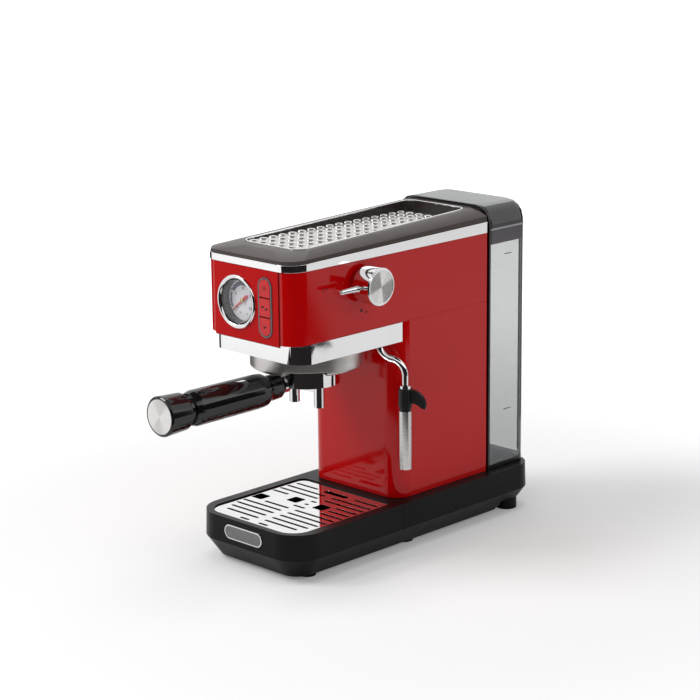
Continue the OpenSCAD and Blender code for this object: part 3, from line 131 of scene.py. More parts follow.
# colour: two shades that drift into each other; rough: the two ends of the gloss
# grain: (scale of the drift, scale of the bump, bump strength, bump height in metres)
# stretch: along x, y, z; alpha: how much of a clear part's surface shows
finishes = {
    "redPaint": {"colour": ((0.50, 0.0004, 0.0010), (0.54, 0.0008, 0.0016)), "rough": (0.07, 0.11),
                 "grain": (9, 900, 0.01, 0.0001), "specular": 0.32},
    "panelRed": {"colour": ((0.50, 0.0004, 0.0010), (0.54, 0.0008, 0.0016)), "rough": (0.10, 0.14),
                 "grain": (9, 900, 0.01, 0.0001), "specular": 0.08},
    "buttonRed": {"colour": ((0.60, 0.006, 0.010), (0.66, 0.010, 0.014)), "rough": (0.22, 0.3),
                  "grain": (60, 1500, 0.03, 0.0001), "specular": 0.4},
    "chrome": {"colour": ((0.80, 0.795, 0.80), (0.84, 0.835, 0.84)), "rough": (0.035, 0.07),
               "grain": (30, 260, 0.015, 0.0002), "metal": 1},
    "brushedSteel": {"colour": ((0.56, 0.535, 0.52), (0.66, 0.635, 0.62)), "rough": (0.30, 0.38),
                     "grain": (40, 700, 0.05, 0.0001), "metal": 1, "stretch": (1, 1, 24)},
    "sleeveSteel": {"colour": ((0.58, 0.56, 0.55), (0.66, 0.64, 0.63)), "rough": (0.14, 0.22),
                    "grain": (60, 900, 0.04, 0.0001), "metal": 1, "stretch": (1, 1, 16)},
    "turnedSteel": {"colour": ((0.68, 0.665, 0.65), (0.75, 0.735, 0.72)), "rough": (0.12, 0.18),
                    "grain": (60, 900, 0.02, 0.0001), "metal": 1},
    "plateSteel": {"colour": ((0.62, 0.61, 0.60), (0.72, 0.71, 0.70)), "rough": (0.13, 0.22),
                   "grain": (30, 800, 0.03, 0.0001), "metal": 1, "stretch": (6, 1, 1)},
    "grilleSteel": {"colour": ((0.82, 0.82, 0.82), (0.88, 0.88, 0.88)), "rough": (0.03, 0.07),
                    "grain": (20, 500, 0.02, 0.0001), "metal": 1, "stretch": (1, 5, 1)},
    "zincSteel": {"colour": ((0.48, 0.48, 0.49), (0.60, 0.60, 0.62)), "rough": (0.3, 0.45),
                  "grain": (220, 900, 0.1, 0.0001), "metal": 1},
    "castAlloy": {"colour": ((0.42, 0.42, 0.42), (0.52, 0.52, 0.52)), "rough": (0.42, 0.6),
                  "grain": (120, 1600, 0.3, 0.0002), "metal": 1},
    "elementSteel": {"colour": ((0.20, 0.19, 0.19), (0.30, 0.29, 0.28)), "rough": (0.4, 0.55),
                     "grain": (90, 900, 0.1, 0.0001), "metal": 1},
    "brass": {"colour": ((0.62, 0.44, 0.17), (0.74, 0.54, 0.24)), "rough": (0.25, 0.38),
              "grain": (80, 900, 0.06, 0.0001), "metal": 1},
    "copper": {"colour": ((0.62, 0.30, 0.17), (0.76, 0.40, 0.24)), "rough": (0.22, 0.36),
               "grain": (70, 700, 0.05, 0.0001), "metal": 1},
    "coverBronze": {"colour": ((0.062, 0.050, 0.046), (0.074, 0.060, 0.056)), "rough": (0.26, 0.32),
                    "grain": (14, 2600, 0.06, 0.0001), "specular": 0.16},
    # painted dark reflection: stands for the rail's chrome inner wall mirroring dark surroundings
    "railInnerReflection": {"colour": ((0.022, 0.016, 0.015), (0.032, 0.024, 0.022)), "rough": (0.3, 0.4),
                    "grain": (40, 1800, 0.05, 0.0001), "specular": 0.3},
    "trayBlack": {"colour": ((0.006, 0.0055, 0.0055), (0.009, 0.0085, 0.0085)), "rough": (0.26, 0.36),
                  "grain": (18, 3200, 0.10, 0.0001), "specular": 0.12},
    "glossBlack": {"colour": ((0.005, 0.005, 0.005), (0.008, 0.008, 0.008)), "rough": (0.05, 0.10),
                   "grain": (25, 500, 0.012, 0.0001)},
    "gripBlack": {"colour": ((0.006, 0.006, 0.006), (0.010, 0.010, 0.010)), "rough": (0.28, 0.4),
                  "grain": (60, 2400, 0.12, 0.0001), "specular": 0.3},
    "rubberBlack": {"colour": ((0.010, 0.010, 0.010), (0.018, 0.018, 0.018)), "rough": (0.55, 0.7),
                    "grain": (70, 1800, 0.2, 0.0001), "specular": 0.3},
    "gaugeBlack": {"colour": ((0.008, 0.008, 0.009), (0.014, 0.014, 0.015)), "rough": (0.3, 0.42),
                   "grain": (80, 1500, 0.05, 0.0001), "specular": 0.3},
    "dialFace": {"colour": ((0.88, 0.87, 0.93), (0.92, 0.91, 0.96)), "rough": (0.4, 0.5),
                 "grain": (60, 2200, 0.03, 0.0001)},
    "dialNavy": {"colour": ((0.045, 0.05, 0.12), (0.06, 0.065, 0.15)), "rough": (0.4, 0.5),
                 "grain": (90, 2200, 0.03, 0.0001)},
    "printBlack": {"colour": ((0.012, 0.012, 0.014), (0.022, 0.022, 0.026)), "rough": (0.4, 0.5),
                   "grain": (200, 2200, 0.03, 0.0001)},
    "printDark": {"colour": ((0.03, 0.010, 0.010), (0.045, 0.016, 0.016)), "rough": (0.4, 0.5),
                  "grain": (200, 2200, 0.03, 0.0001), "specular": 0.2},
    "needleRed": {"colour": ((0.62, 0.004, 0.008), (0.70, 0.008, 0.012)), "rough": (0.3, 0.4),
                  "grain": (200, 2200, 0.03, 0.0001)},
    "frameGrey": {"colour": ((0.10, 0.10, 0.105), (0.13, 0.13, 0.135)), "rough": (0.3, 0.42),
                  "grain": (80, 2200, 0.06, 0.0001)},
    "badgeGrey": {"colour": ((0.16, 0.16, 0.165), (0.20, 0.20, 0.205)), "rough": (0.34, 0.46),
                  "grain": (120, 2600, 0.08, 0.0001), "metal": 0.6},
    "boardGreen": {"colour": ((0.015, 0.10, 0.04), (0.03, 0.16, 0.06)), "rough": (0.3, 0.45),
                   "grain": (260, 1200, 0.1, 0.0001)},
    "ceramic": {"colour": ((0.68, 0.65, 0.58), (0.78, 0.75, 0.69)), "rough": (0.5, 0.65),
                "grain": (90, 1800, 0.1, 0.0001)},
    "pumpPaint": {"colour": ((0.34, 0.30, 0.23), (0.44, 0.40, 0.31)), "rough": (0.4, 0.55),
                  "grain": (70, 1400, 0.1, 0.0001)},
    "siliconeHose": {"colour": ((0.66, 0.66, 0.62), (0.76, 0.76, 0.73)), "rough": (0.3, 0.45),
                     "grain": (60, 1200, 0.05, 0.0001)},
    "tankSmoke": {"colour": ((0.11, 0.16, 0.16), (0.14, 0.19, 0.19)), "rough": (0.03, 0.06),
                  "grain": (14, 300, 0.02, 0.0001), "alpha": 0.21, "specular": 0.35},
    # painted shade: dark rear corners of the clear tank
    "tankCornerShade": {"colour": ((0.020, 0.026, 0.030), (0.030, 0.038, 0.043)), "rough": (0.04, 0.08),
                 "grain": (14, 300, 0.02, 0.0001), "alpha": 0.78},
    "tankBand": {"colour": ((0.085, 0.076, 0.090), (0.105, 0.095, 0.110)), "rough": (0.08, 0.12),
                 "grain": (14, 300, 0.02, 0.0001), "alpha": 0.93, "specular": 0.3},
    "rimGrey": {"colour": ((0.30, 0.30, 0.31), (0.36, 0.36, 0.37)), "rough": (0.08, 0.14),
                "grain": (14, 300, 0.02, 0.0001)},
    "lidSmoke": {"colour": ((0.50, 0.53, 0.51), (0.56, 0.59, 0.57)), "rough": (0.04, 0.07),
                 "grain": (14, 300, 0.02, 0.0001), "alpha": 0.6, "specular": 0.2},
    # painted dark reflection for the shoulders of the clear lid
    "lidShade": {"colour": ((0.022, 0.024, 0.023), (0.030, 0.033, 0.031)), "rough": (0.03, 0.06),
                 "grain": (14, 300, 0.02, 0.0001), "alpha": 0.94, "specular": 0.7},
    "clearGlass": {"colour": ((0.90, 0.92, 0.93), (0.94, 0.96, 0.97)), "rough": (0.0, 0.02),
                   "grain": (20, 300, 0.005, 0.0001), "alpha": 0.06, "specular": 0.3},
}


def makeFinish(name, look):
    material, tree, shader = newMaterial(name)
    place = tree.nodes.new("ShaderNodeTexCoord")
    mapping = tree.nodes.new("ShaderNodeMapping")
    mapping.inputs["Scale"].default_value = look.get("stretch", (1, 1, 1))
    tree.links.new(place.outputs["Object"], mapping.inputs["Vector"])
    drift, fine, strength, height = look["grain"]
    cloud = noiseOf(tree, mapping.outputs["Vector"], drift, noiseLook["detail"])
    tree.links.new(rampOf(tree, cloud, *look["colour"]), shader.inputs["Base Color"])
    wear = noiseOf(tree, mapping.outputs["Vector"], drift * noiseLook["wearScale"], noiseLook["wearDetail"])
    tree.links.new(rangeOf(tree, wear, *look["rough"]), shader.inputs["Roughness"])
    bump = tree.nodes.new("ShaderNodeBump")
    bump.inputs["Strength"].default_value = strength
    bump.inputs["Distance"].default_value = height
    grain = noiseOf(tree, mapping.outputs["Vector"], fine, noiseLook["bumpDetail"])
    tree.links.new(grain, bump.inputs["Height"])
    tree.links.new(bump.outputs["Normal"], shader.inputs["Normal"])
    shader.inputs["Metallic"].default_value = look.get("metal", 0)
    shader.inputs["Specular IOR Level"].default_value = look.get("specular", 0.5)
    shader.inputs["Alpha"].default_value = look.get("alpha", 1)
    return material


materials = {name: makeFinish(name, look) for name, look in finishes.items()}
print("materials:", len(materials))

finishNodes = {
    "trayBlack": ("base_pan", "base_bottom_plate", "rear_feet", "drip_tray"),
    "rubberBlack": ("middle_feet", "cord_gland", "group_gasket", "pump_mounts"),
    "zincSteel": ("base_screws", "shower_screw", "boiler_bracket"),
    "redPaint": ("column_shell", "head_shell"),
    "chrome": ("head_trim_strip", "cup_rail", "gauge_bezel", "group_skirt", "wand_socket", "steam_knob",
               "knob_lever", "steam_wand", "portafilter_body"),
    "coverBronze": ("top_cover",),
    "plateSteel": ("cup_warming_plate",),
    "glossBlack": ("tank_gasket", "portafilter_handle", "handle_cap"),
    "gaugeBlack": ("tank_coupling", "gauge_case"),
    "panelRed": ("front_panel",),
    "dialFace": ("gauge_dial",),
    "clearGlass": ("gauge_glass",),
    "copper": ("gauge_capillary", "steam_feed_pipe"),
    "needleRed": ("gauge_needle",),
    "frameGrey": ("button_frame",),
    "boardGreen": ("switch_board", "control_board"),
    "buttonRed": ("button_top", "button_middle", "button_bottom"),
    "brushedSteel": ("group_collar",),
    "castAlloy": ("group_head", "thermoblock"),
    "sleeveSteel": ("shower_screen", "frothing_sleeve", "filter_basket"),
    "elementSteel": ("heating_element",),
    "ceramic": ("thermostat",),
    "brass": ("steam_valve_body", "relief_valve", "board_posts", "valve_spindle"),
    "pumpPaint": ("vibration_pump",),
    "siliconeHose": ("suction_hose", "pressure_hose"),
    "gripBlack": ("wand_grip",),
    "grilleSteel": ("drip_grille",),
    "tankSmoke": ("water_tank",),
    "lidSmoke": ("tank_lid",),
}
nodeFinish = {node: finish for finish, members in finishNodes.items() for node in members}
for nodeName, finishName in nodeFinish.items():
    data = nodes[nodeName].data
    data.materials.clear()
    data.materials.append(materials[finishName])


# shaping helpers
def bevelEdges(bm, edges, width, segments=3):
    if edges:
        bmesh.ops.bevel(bm, geom=list(edges), offset=width, offset_type="OFFSET", segments=segments,
                        profile=0.5, affect="EDGES", clamp_overlap=True, material=-1)


def sharpEdges(bm, angle=30):
    return [e for e in bm.edges if len(e.link_faces) == 2 and e.calc_face_angle(0) > math.radians(angle)]


def soften(bm, width, segments=3, angle=30):
    bevelEdges(bm, sharpEdges(bm, angle), width, segments)


def addPiece(name, bm, body, finish, stands=(), sharp=35, weighted=True, inMm=True):
    # bm in millimetres from the datum, unless inMm is off
    if inMm:
        bmesh.ops.transform(bm, matrix=Matrix.Translation(datum) @ Matrix.Scale(mm, 4), verts=bm.verts)
    bmesh.ops.recalc_face_normals(bm, faces=bm.faces)
    for face in bm.faces:
        face.smooth = True
    for edge in bm.edges:
        if len(edge.link_faces) == 2 and edge.calc_face_angle(0) > math.radians(sharp):
            edge.smooth = False
    mesh = bpy.data.meshes.new(name)
    bm.to_mesh(mesh)
    bm.free()
    piece = bpy.data.objects.new(name, mesh)
    bpy.context.scene.collection.objects.link(piece)
    mesh.materials.append(materials[finish])
    if weighted:
        normals = piece.modifiers.new("faceNormals", "WEIGHTED_NORMAL")
        normals.keep_sharp = True
    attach(piece, body)
    if stands:
        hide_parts(*stands)
    return piece


def bodyOf(nodeName):
    for body, members in frame["record"]["behaviour"]["bodies"].items():
        if nodeName in members:
            return body


# weld: distance in metres; flat: angle in degrees up to which neighbours count as one face
copyLook = {"weld": 2e-6, "flat": 0.6}


def mergedCopy(nodeName):
    # mesh of a CAD solid, its triangles joined into whole faces
    bm = bmesh.new()
    bm.from_mesh(nodes[nodeName].data)
    bmesh.ops.remove_doubles(bm, verts=bm.verts, dist=copyLook["weld"])
    bmesh.ops.dissolve_limit(bm, angle_limit=math.radians(copyLook["flat"]), verts=bm.verts, edges=bm.edges)
    return bm


def cutAt(bm, place, normal):
    # split the faces along a plane, both sides kept
    bmesh.ops.bisect_plane(bm, geom=bm.verts[:] + bm.edges[:] + bm.faces[:], dist=0.001, plane_co=place,
                           plane_no=normal)


def toDatum(bm):
    bmesh.ops.transform(bm, matrix=Matrix.Scale(1 / mm, 4) @ Matrix.Translation(-datum), verts=bm.verts)


def roundedCopy(nodeName, width):
    # copy of a CAD solid with its edges broken
    bm = mergedCopy(nodeName)
    soften(bm, width * mm)
    addPiece(nodeName + "_rounded", bm, bodyOf(nodeName), nodeFinish[nodeName], (nodeName,),
             inMm=False)


# distance in millimetres under which points of one profile or mark are joined
weld = 0.0005


def lathe(profile, centre, axis, steps):
    # profile: (radius, height) pairs, turned about an axis through centre
    bm = bmesh.new()
    points = [bm.verts.new((r, 0, h)) for r, h in profile]
    wires = [bm.edges.new(pair) for pair in zip(points, points[1:])]
    bmesh.ops.spin(bm, geom=points + wires, cent=(0, 0, 0), axis=(0, 0, 1), angle=math.tau, steps=steps,
                   use_merge=True)
    bmesh.ops.remove_doubles(bm, verts=bm.verts, dist=weld)
    bmesh.ops.recalc_face_normals(bm, faces=bm.faces)
    turn = Vector((0, 0, 1)).rotation_difference(Vector(axis)).to_matrix().to_4x4()
    bmesh.ops.transform(bm, matrix=Matrix.Translation(centre) @ turn, verts=bm.verts)
    return bm


def blockMesh(x0, x1, y0, y1, z0, z1, frontRadius=0, rearRadius=0, steps=12):
    bm = bmesh.new()
    middle = Vector(((x0 + x1) / 2, (y0 + y1) / 2, (z0 + z1) / 2))
    size = Matrix.Diagonal((x1 - x0, y1 - y0, z1 - z0, 1))
    bmesh.ops.create_cube(bm, size=1, matrix=Matrix.Translation(middle) @ size)
    for radius, front in ((frontRadius, True), (rearRadius, False)):
        if radius:
            upright = [e for e in bm.edges if abs(e.verts[0].co.z - e.verts[1].co.z) > (z1 - z0) / 2
                       and (e.verts[0].co.y < middle.y) == front]
            bevelEdges(bm, upright, radius, steps)
    return bm


def faceAt(bm, axis, value, tolerance=0.01):
    # the largest face that lies square to an axis at that value
    found = [f for f in bm.faces if all(abs(v.co[axis] - value) < tolerance for v in f.verts)]
    return max(found, key=lambda f: f.calc_area())


# shells that keep the CAD form, with broken edges
shellEdges = {
    "head_shell": 0.7, "column_shell": 0.6, "front_panel": 0.45, "head_trim_strip": 0.4, "group_skirt": 0.5,
    "base_pan": 0.8, "drip_tray": 0.8, "tank_gasket": 0.3, "button_frame": 0.3, "button_top": 0.35,
    "button_middle": 0.35, "button_bottom": 0.35, "portafilter_body": 0.5, "middle_feet": 0.5,
    "rear_feet": 0.7, "wand_socket": 0.3, "frothing_sleeve": 0.3, "wand_grip": 0.35, "steam_knob": 0.5,
    "knob_lever": 0.25, "group_collar": 0.5, "drip_grille": 0.3, "handle_cap": 0.5,
    "portafilter_handle": 0.8, "tank_lid": 1.0, "steam_wand": 0.2,
}
for nodeName, width in shellEdges.items():
    roundedCopy(nodeName, width)
print("rounded shells:", len(shellEdges))

# top cover
coverLook = {"shoulder": 2.8, "shoulderSteps": 6, "shoulderAngle": 40, "above": 2.2, "edge": 0.6,
             "edgeAngle": 34, "outerX": 42, "outerFront": 22, "outerRear": 254}


def makeCover(s):
    # broad soft shoulder outside, fine edges round the recess
    bm = mergedCopy("top_cover")
    toDatum(bm)
    low = min(v.co.z for v in bm.verts)

    def outside(edge):
        middle = (edge.verts[0].co + edge.verts[1].co) / 2
        away = abs(middle.x) > s["outerX"] or middle.y < s["outerFront"] or middle.y > s["outerRear"]
        return away and middle.z > low + s["above"] and middle.y < s["outerRear"]

    rim = [e for e in sharpEdges(bm, s["shoulderAngle"]) if outside(e)]
    bevelEdges(bm, rim, s["shoulder"], s["shoulderSteps"])
    soften(bm, s["edge"], 2, s["edgeAngle"])
    addPiece("topCover", bm, bodyOf("top_cover"), "coverBronze", ("top_cover",))


makeCover(coverLook)
print("cover made")

# rail: bright rim over an inner wall that carries a painted dark reflection
railLook = {"rim": 1.0, "edge": 0.3, "edgeAngle": 40, "tilt": 2, "frontY": 28, "upright": 0.5}


def makeRail(s):
    bm = mergedCopy("cup_rail")
    toDatum(bm)
    slope = math.radians(s["tilt"])
    frontTop = max(v.co.z for v in bm.verts if v.co.y < s["frontY"] + 1)
    cutAt(bm, (0, s["frontY"], frontTop - s["rim"]), (0, -math.sin(slope), math.cos(slope)))
    low, high = nodeBox("cup_rail")
    middle = (low + high) / 2
    for face in bm.faces:
        centre = face.calc_center_median()
        cut = frontTop - s["rim"] + (centre.y - s["frontY"]) * math.tan(slope)
        inward = (centre - middle).xy.dot(face.normal.xy) < 0
        # inner faces below the rim take slot 1, a painted dark reflection in place of chrome
        face.material_index = int(inward and centre.z < cut and abs(face.normal.z) < s["upright"])
    soften(bm, s["edge"], 2, s["edgeAngle"])
    piece = addPiece("cupRail", bm, "machine", "chrome", ("cup_rail",))
    piece.data.materials.append(materials["railInnerReflection"])


makeRail(railLook)
print("rail made")

# dimpled plate
plateLook = {"pitch": 12, "columns": 6, "firstRow": 37.5, "lastRow": 232, "radius": 4.4, "height": 1.35,
             "sink": 0.02, "sides": 16, "rings": 10}


def makeDimples(s):
    top = nodeBox("cup_warming_plate")[1].z
    bm = bmesh.new()
    rows = int((s["lastRow"] - s["firstRow"]) / s["pitch"]) + 1
    shape = Matrix.Diagonal((s["radius"], s["radius"], s["height"], 1))
    for row in range(rows):
        for column in range(s["columns"]):
            x = (column - (s["columns"] - 1) / 2) * s["pitch"]
            place = Matrix.Translation((x, s["firstRow"] + row * s["pitch"], top - s["sink"]))
            bmesh.ops.create_uvsphere(bm, u_segments=s["sides"], v_segments=s["rings"], radius=1,
                                      matrix=place @ shape)
    addPiece("plateDimples", bm, "machine", "plateSteel", sharp=80, weighted=False)


makeDimples(plateLook)
print("plate dimples made")

# turned faces of the knob and the handle cap
turnedLook = {"pitch": 0.55, "depth": 0.05, "back": 0.3, "steps": 96, "knobBorder": 2.5, "knobSink": 0.2,
              "capBorder": 2.2, "capSink": 0.15}


def makeTurnedFace(name, centre, axis, radius, body, s):
    # fine lathe grooves: a zigzag turned about the axis
    profile = [(0, -s["back"]), (0, 0)]
    for ring in range(int(radius / s["pitch"])):
        profile.append(((ring + 0.5) * s["pitch"], -s["depth"]))
        profile.append(((ring + 1) * s["pitch"], 0))
    profile.append((profile[-1][0], -s["back"]))
    bm = lathe(profile + [(0, -s["back"])], centre, axis, s["steps"])
    addPiece(name, bm, body, "turnedSteel", sharp=3, weighted=False)


knobLow, knobHigh = nodeBox("steam_knob")
knobMiddle = (knobLow + knobHigh) / 2
knobFace = Vector((knobHigh.x - turnedLook["knobSink"], knobMiddle.y, knobMiddle.z))
knobRadius = (knobHigh.z - knobLow.z) / 2 - turnedLook["knobBorder"]
makeTurnedFace("knobFace", knobFace, (1, 0, 0), knobRadius, "steam_control", turnedLook)
capLow, capHigh = nodeBox("handle_cap")
capMiddle = (capLow + capHigh) / 2
capFace = Vector((capMiddle.x, capLow.y + turnedLook["capSink"], capMiddle.z))
capRadius = (capHigh.z - capLow.z) / 2 - turnedLook["capBorder"]
makeTurnedFace("capFace", capFace, (0, -1, 0), capRadius, "portafilter", turnedLook)
print("turned faces made")


# printed marks
def addSector(bm, centre, inner, outer, start, end, step=5):
    # flat sector in the front plane, angles clockwise from the top, in degrees
    turn = math.radians(start)
    spots = [bm.verts.new(centre + r * Vector((math.sin(turn), 0, math.cos(turn)))) for r in (inner, outer)]
    edge = bm.edges.new(spots)
    bmesh.ops.spin(bm, geom=spots + [edge], cent=centre, axis=(0, 1, 0), angle=math.radians(end - start),
                   steps=max(1, round(abs(end - start) / step)))


def thicken(bm, push):
    # close flat marks into thin solids
    bmesh.ops.remove_doubles(bm, verts=bm.verts, dist=weld)
    grown = bmesh.ops.extrude_face_region(bm, geom=bm.faces[:], use_keep_orig=True)
    moved = [g for g in grown["geom"] if isinstance(g, bmesh.types.BMVert)]
    bmesh.ops.translate(bm, vec=push, verts=moved)


# half the thickness of printed figures
textDepth = 0.06


def addText(bm, words, size, centre, right, up):
    curve = bpy.data.curves.new("figure", "FONT")
    curve.body = words
    curve.size = size
    curve.align_x = "CENTER"
    curve.align_y = "CENTER"
    curve.extrude = textDepth
    figure = bpy.data.objects.new("figure", curve)
    mesh = bpy.data.meshes.new_from_object(figure)
    bpy.data.objects.remove(figure)
    facing = Matrix((right, up, Vector(right).cross(Vector(up)))).transposed().to_4x4()
    mesh.transform(Matrix.Translation(centre) @ facing)
    bm.from_mesh(mesh)
    bpy.data.meshes.remove(mesh)


# gauge
gaugeLook = {
    "well": 18.7, "wellLip": 2.6, "wellStep": 3.2, "wellRise": 2.5,
    "scale": (17.2, 18.2), "longTick": 16.2, "longWidth": 1.5, "shortWidth": 0.9, "every": 4,
    "figures": 10.9, "figureSize": 4.2, "top": 16, "start": -128, "sweep": 255, "print": 0.15,
    "wideArc": (13.2, 16.9, -62, 14), "narrowArc": (15.2, 16.9, -118, -70), "warnArc": (15.2, 17.2, 112, 127),
    "ringBack": 1.0, "ringEnd": 1.2, "ringInner": ((0.6, 1.1), (0.2, 2.1)),
    "ringOuter": ((0, 1.8), (0.4, 0.8), (1.1, 0.15), (1.9, 0), (2.7, 0.4)),
    "hub": ((0, 4.2), (1.5, 4.3), (2.1, 4.7), (2.2, 5.3), (0, 5.3), (0, 4.2)),
    "screw": ((0, -0.5), (0.7, -0.4), (0.9, 0), (0, 0), (0, -0.5)), "screwAt": (4.2, -11.8),
}


def makeGauge(s):
    # ringOuter runs in from the rim and ringInner out from the bore, each with its depth from the front
    low, high = nodeBox("gauge_bezel")
    centre = Vector(((low.x + high.x) / 2, 0, (low.z + high.z) / 2))
    face = nodeBox("gauge_dial")[0].y
    glassLow, glassHigh = nodeBox("gauge_glass")
    bore = (glassHigh.x - glassLow.x) / 2
    lip = (bore, low.y + s["wellLip"])
    well = [lip, (bore + 0.05, face), (s["well"], face), (s["well"] + 0.1, face - s["wellRise"]),
            (bore - 0.5, low.y + s["wellStep"]), lip]
    bm = lathe(well, centre, (0, 1, 0), 96)
    addPiece("gaugeWell", bm, "machine", "glossBlack", sharp=25, weighted=False)
    outer = (high.x - low.x) / 2
    front = low.y + s["ringBack"]
    rear = high.y - s["ringEnd"]
    ring = [(outer, rear)] + [(outer - inward, front + depth) for inward, depth in s["ringOuter"]]
    ring += [(bore + outward, front + depth) for outward, depth in s["ringInner"]]
    ring += [(ring[-1][0], rear), (outer, rear)]
    addPiece("gaugeRing", lathe(ring, centre, (0, 1, 0), 96), "machine", "chrome", ("gauge_bezel",),
             sharp=60, weighted=False)
    onFace = centre + Vector((0, face, 0))
    push = (0, -s["print"], 0)
    ticks = bmesh.new()
    for i in range(s["top"] + 1):
        angle = s["start"] + s["sweep"] * i / s["top"]
        isLong = i % s["every"] == 0
        inner = s["longTick"] if isLong else s["scale"][0]
        width = s["longWidth"] if isLong else s["shortWidth"]
        addSector(ticks, onFace, inner, s["scale"][1], angle - width, angle + width, 1)
    thicken(ticks, push)
    for i in range(0, s["top"] + 1, s["every"]):
        angle = math.radians(s["start"] + s["sweep"] * i / s["top"])
        spot = onFace + s["figures"] * Vector((math.sin(angle), 0, math.cos(angle))) + Vector(push)
        addText(ticks, str(i), s["figureSize"], spot, (1, 0, 0), (0, 0, 1))
    addPiece("gaugeScale", ticks, "machine", "printBlack", sharp=30, weighted=False)
    for name, arcs, finish in (("gaugeArcs", (s["wideArc"], s["narrowArc"]), "dialNavy"),
                               ("gaugeWarn", (s["warnArc"],), "needleRed")):
        bm = bmesh.new()
        for arc in arcs:
            addSector(bm, onFace, *arc)
        thicken(bm, push)
        addPiece(name, bm, "machine", finish, sharp=30, weighted=False)
    hub = lathe(s["hub"], centre, (0, 1, 0), 32)
    addPiece("gaugeHub", hub, "gauge_needle", "brass", sharp=50, weighted=False)
    for side, ending in ((-1, "Left"), (1, "Right")):
        spot = onFace + Vector((side * s["screwAt"][0], 0, s["screwAt"][1]))
        screw = lathe(s["screw"], spot, (0, 1, 0), 20)
        addPiece("dialScrew" + ending, screw, "machine", "zincSteel", weighted=False)


makeGauge(gaugeLook)
print("gauge made")

# button signs
signLook = {"radius": 1.7, "line": 0.55, "print": 0.12, "ring": (35, 325), "stroke": (0.6, 0.5, 9),
            "pair": 2.4, "rise": 0.6, "stagger": 0.3, "core": 0.15, "saucer": (255, 285), "saucerGap": 0.1}


def makeSigns(s):
    for name in ("button_top", "button_middle", "button_bottom"):
        low, high = nodeBox(name)
        centre = Vector(((low.x + high.x) / 2, low.y, (low.z + high.z) / 2))
        bm = bmesh.new()
        if name == "button_top":
            # an open ring with a stroke
            inner, past, half = s["stroke"]
            addSector(bm, centre, s["radius"] - s["line"], s["radius"], *s["ring"], 12)
            addSector(bm, centre, inner, s["radius"] + past, -half, half, half)
        else:
            # two cups or one, each over its saucer
            for shift in (-s["pair"], s["pair"]) if name == "button_middle" else (0,):
                cup = centre + Vector((shift, 0, s["rise"] - shift * s["stagger"]))
                addSector(bm, cup, s["core"], s["radius"], 90, 270, 15)
                below = cup + Vector((0, 0, -s["radius"] - s["saucerGap"]))
                addSector(bm, below, s["core"], s["radius"], *s["saucer"], 15)
        thicken(bm, (0, -s["print"], 0))
        addPiece(name + "_sign", bm, name, "printDark", sharp=30, weighted=False)


makeSigns(signLook)
print("button signs made")

# seam round the front panel
panelLow, panelHigh = nodeBox("front_panel")
seamLook = {"width": 0.55, "depth": 0.28, "under": 1}


def makeSeam(s):
    wide, deep, under = s["width"], s["depth"], s["under"]
    bm = bmesh.new()
    bars = [(panelLow.x - wide, panelLow.x + under, panelLow.z - wide, panelHigh.z),
            (panelHigh.x - under, panelHigh.x + wide, panelLow.z - wide, panelHigh.z),
            (panelLow.x + under, panelHigh.x - under, panelLow.z - wide, panelLow.z + under)]
    for x0, x1, z0, z1 in bars:
        middle = Matrix.Translation(((x0 + x1) / 2, 0, (z0 + z1) / 2))
        bmesh.ops.create_cube(bm, size=1, matrix=middle @ Matrix.Diagonal((x1 - x0, 2 * deep, z1 - z0, 1)))
    addPiece("panelSeam", bm, "machine", "printDark")


makeSeam(seamLook)

# badge, left bare
badgeLook = {"width": 49, "height": 13.5, "rise": 34.3, "proud": 1.1, "border": 1.1, "setBack": 0.45,
             "fieldProud": 1.16, "endGap": 0.05, "endSteps": 14, "rimEdge": 0.35, "fieldEdge": 0.1}


def makeBadge(s):
    front = nodeBox("drip_tray")[0].y + s["setBack"]
    half, tall = s["width"] / 2, s["height"] / 2
    for name, inset, proud, edge, finish in (
            ("badgeRim", 0, s["proud"], s["rimEdge"], "chrome"),
            ("badgeField", s["border"], s["fieldProud"], s["fieldEdge"], "badgeGrey")):
        bm = blockMesh(inset - half, half - inset, front - proud, front + 1,
                       s["rise"] - tall + inset, s["rise"] + tall - inset)
        ends = [e for e in bm.edges if abs(e.verts[0].co.y - e.verts[1].co.y) > 1]
        bevelEdges(bm, ends, tall - inset - s["endGap"], s["endSteps"])
        bevelEdges(bm, faceAt(bm, 1, front - proud).edges, edge, 2)
        addPiece(name, bm, "drip_tray", finish)


makeBadge(badgeLook)
print("badge made")

# marks on the side and the tank
sideLook = {"side": 57.5, "steamMark": (38, 261.2), "figureSize": 5.2, "figureLift": 0.02,
            "dot": (4.6, 0.9), "drops": ((85.2, 234.7, 1.5), (90.9, 232.4, 1.1)), "depth": 0.16,
            "levels": (256.5, 103.1), "levelY": (280.5, 291), "levelHeight": 0.7}


def makeSideMarks(s):
    bm = bmesh.new()
    markY, markZ = s["steamMark"]
    figureAt = Vector((s["side"] + s["figureLift"], markY, markZ))
    addText(bm, "0", s["figureSize"], figureAt, (0, 1, 0), (0, 0, 1))
    for y, z, radius in ((markY + s["dot"][0], markZ, s["dot"][1]), *s["drops"]):
        place = Matrix.Translation((s["side"], y, z)) @ Matrix.Rotation(math.radians(90), 4, "Y")
        bmesh.ops.create_cone(bm, segments=16, radius1=radius, radius2=radius, depth=s["depth"],
                              cap_ends=True, matrix=place)
    addPiece("sideMarks", bm, "machine", "printDark", sharp=40, weighted=False)
    bm = bmesh.new()
    y0, y1 = s["levelY"]
    for z in s["levels"]:
        middle = Matrix.Translation((s["side"], (y0 + y1) / 2, z))
        size = Matrix.Diagonal((s["depth"], y1 - y0, s["levelHeight"], 1))
        bmesh.ops.create_cube(bm, size=1, matrix=middle @ size)
    addPiece("tankLevels", bm, "water_tank", "printBlack", sharp=40, weighted=False)


makeSideMarks(sideLook)
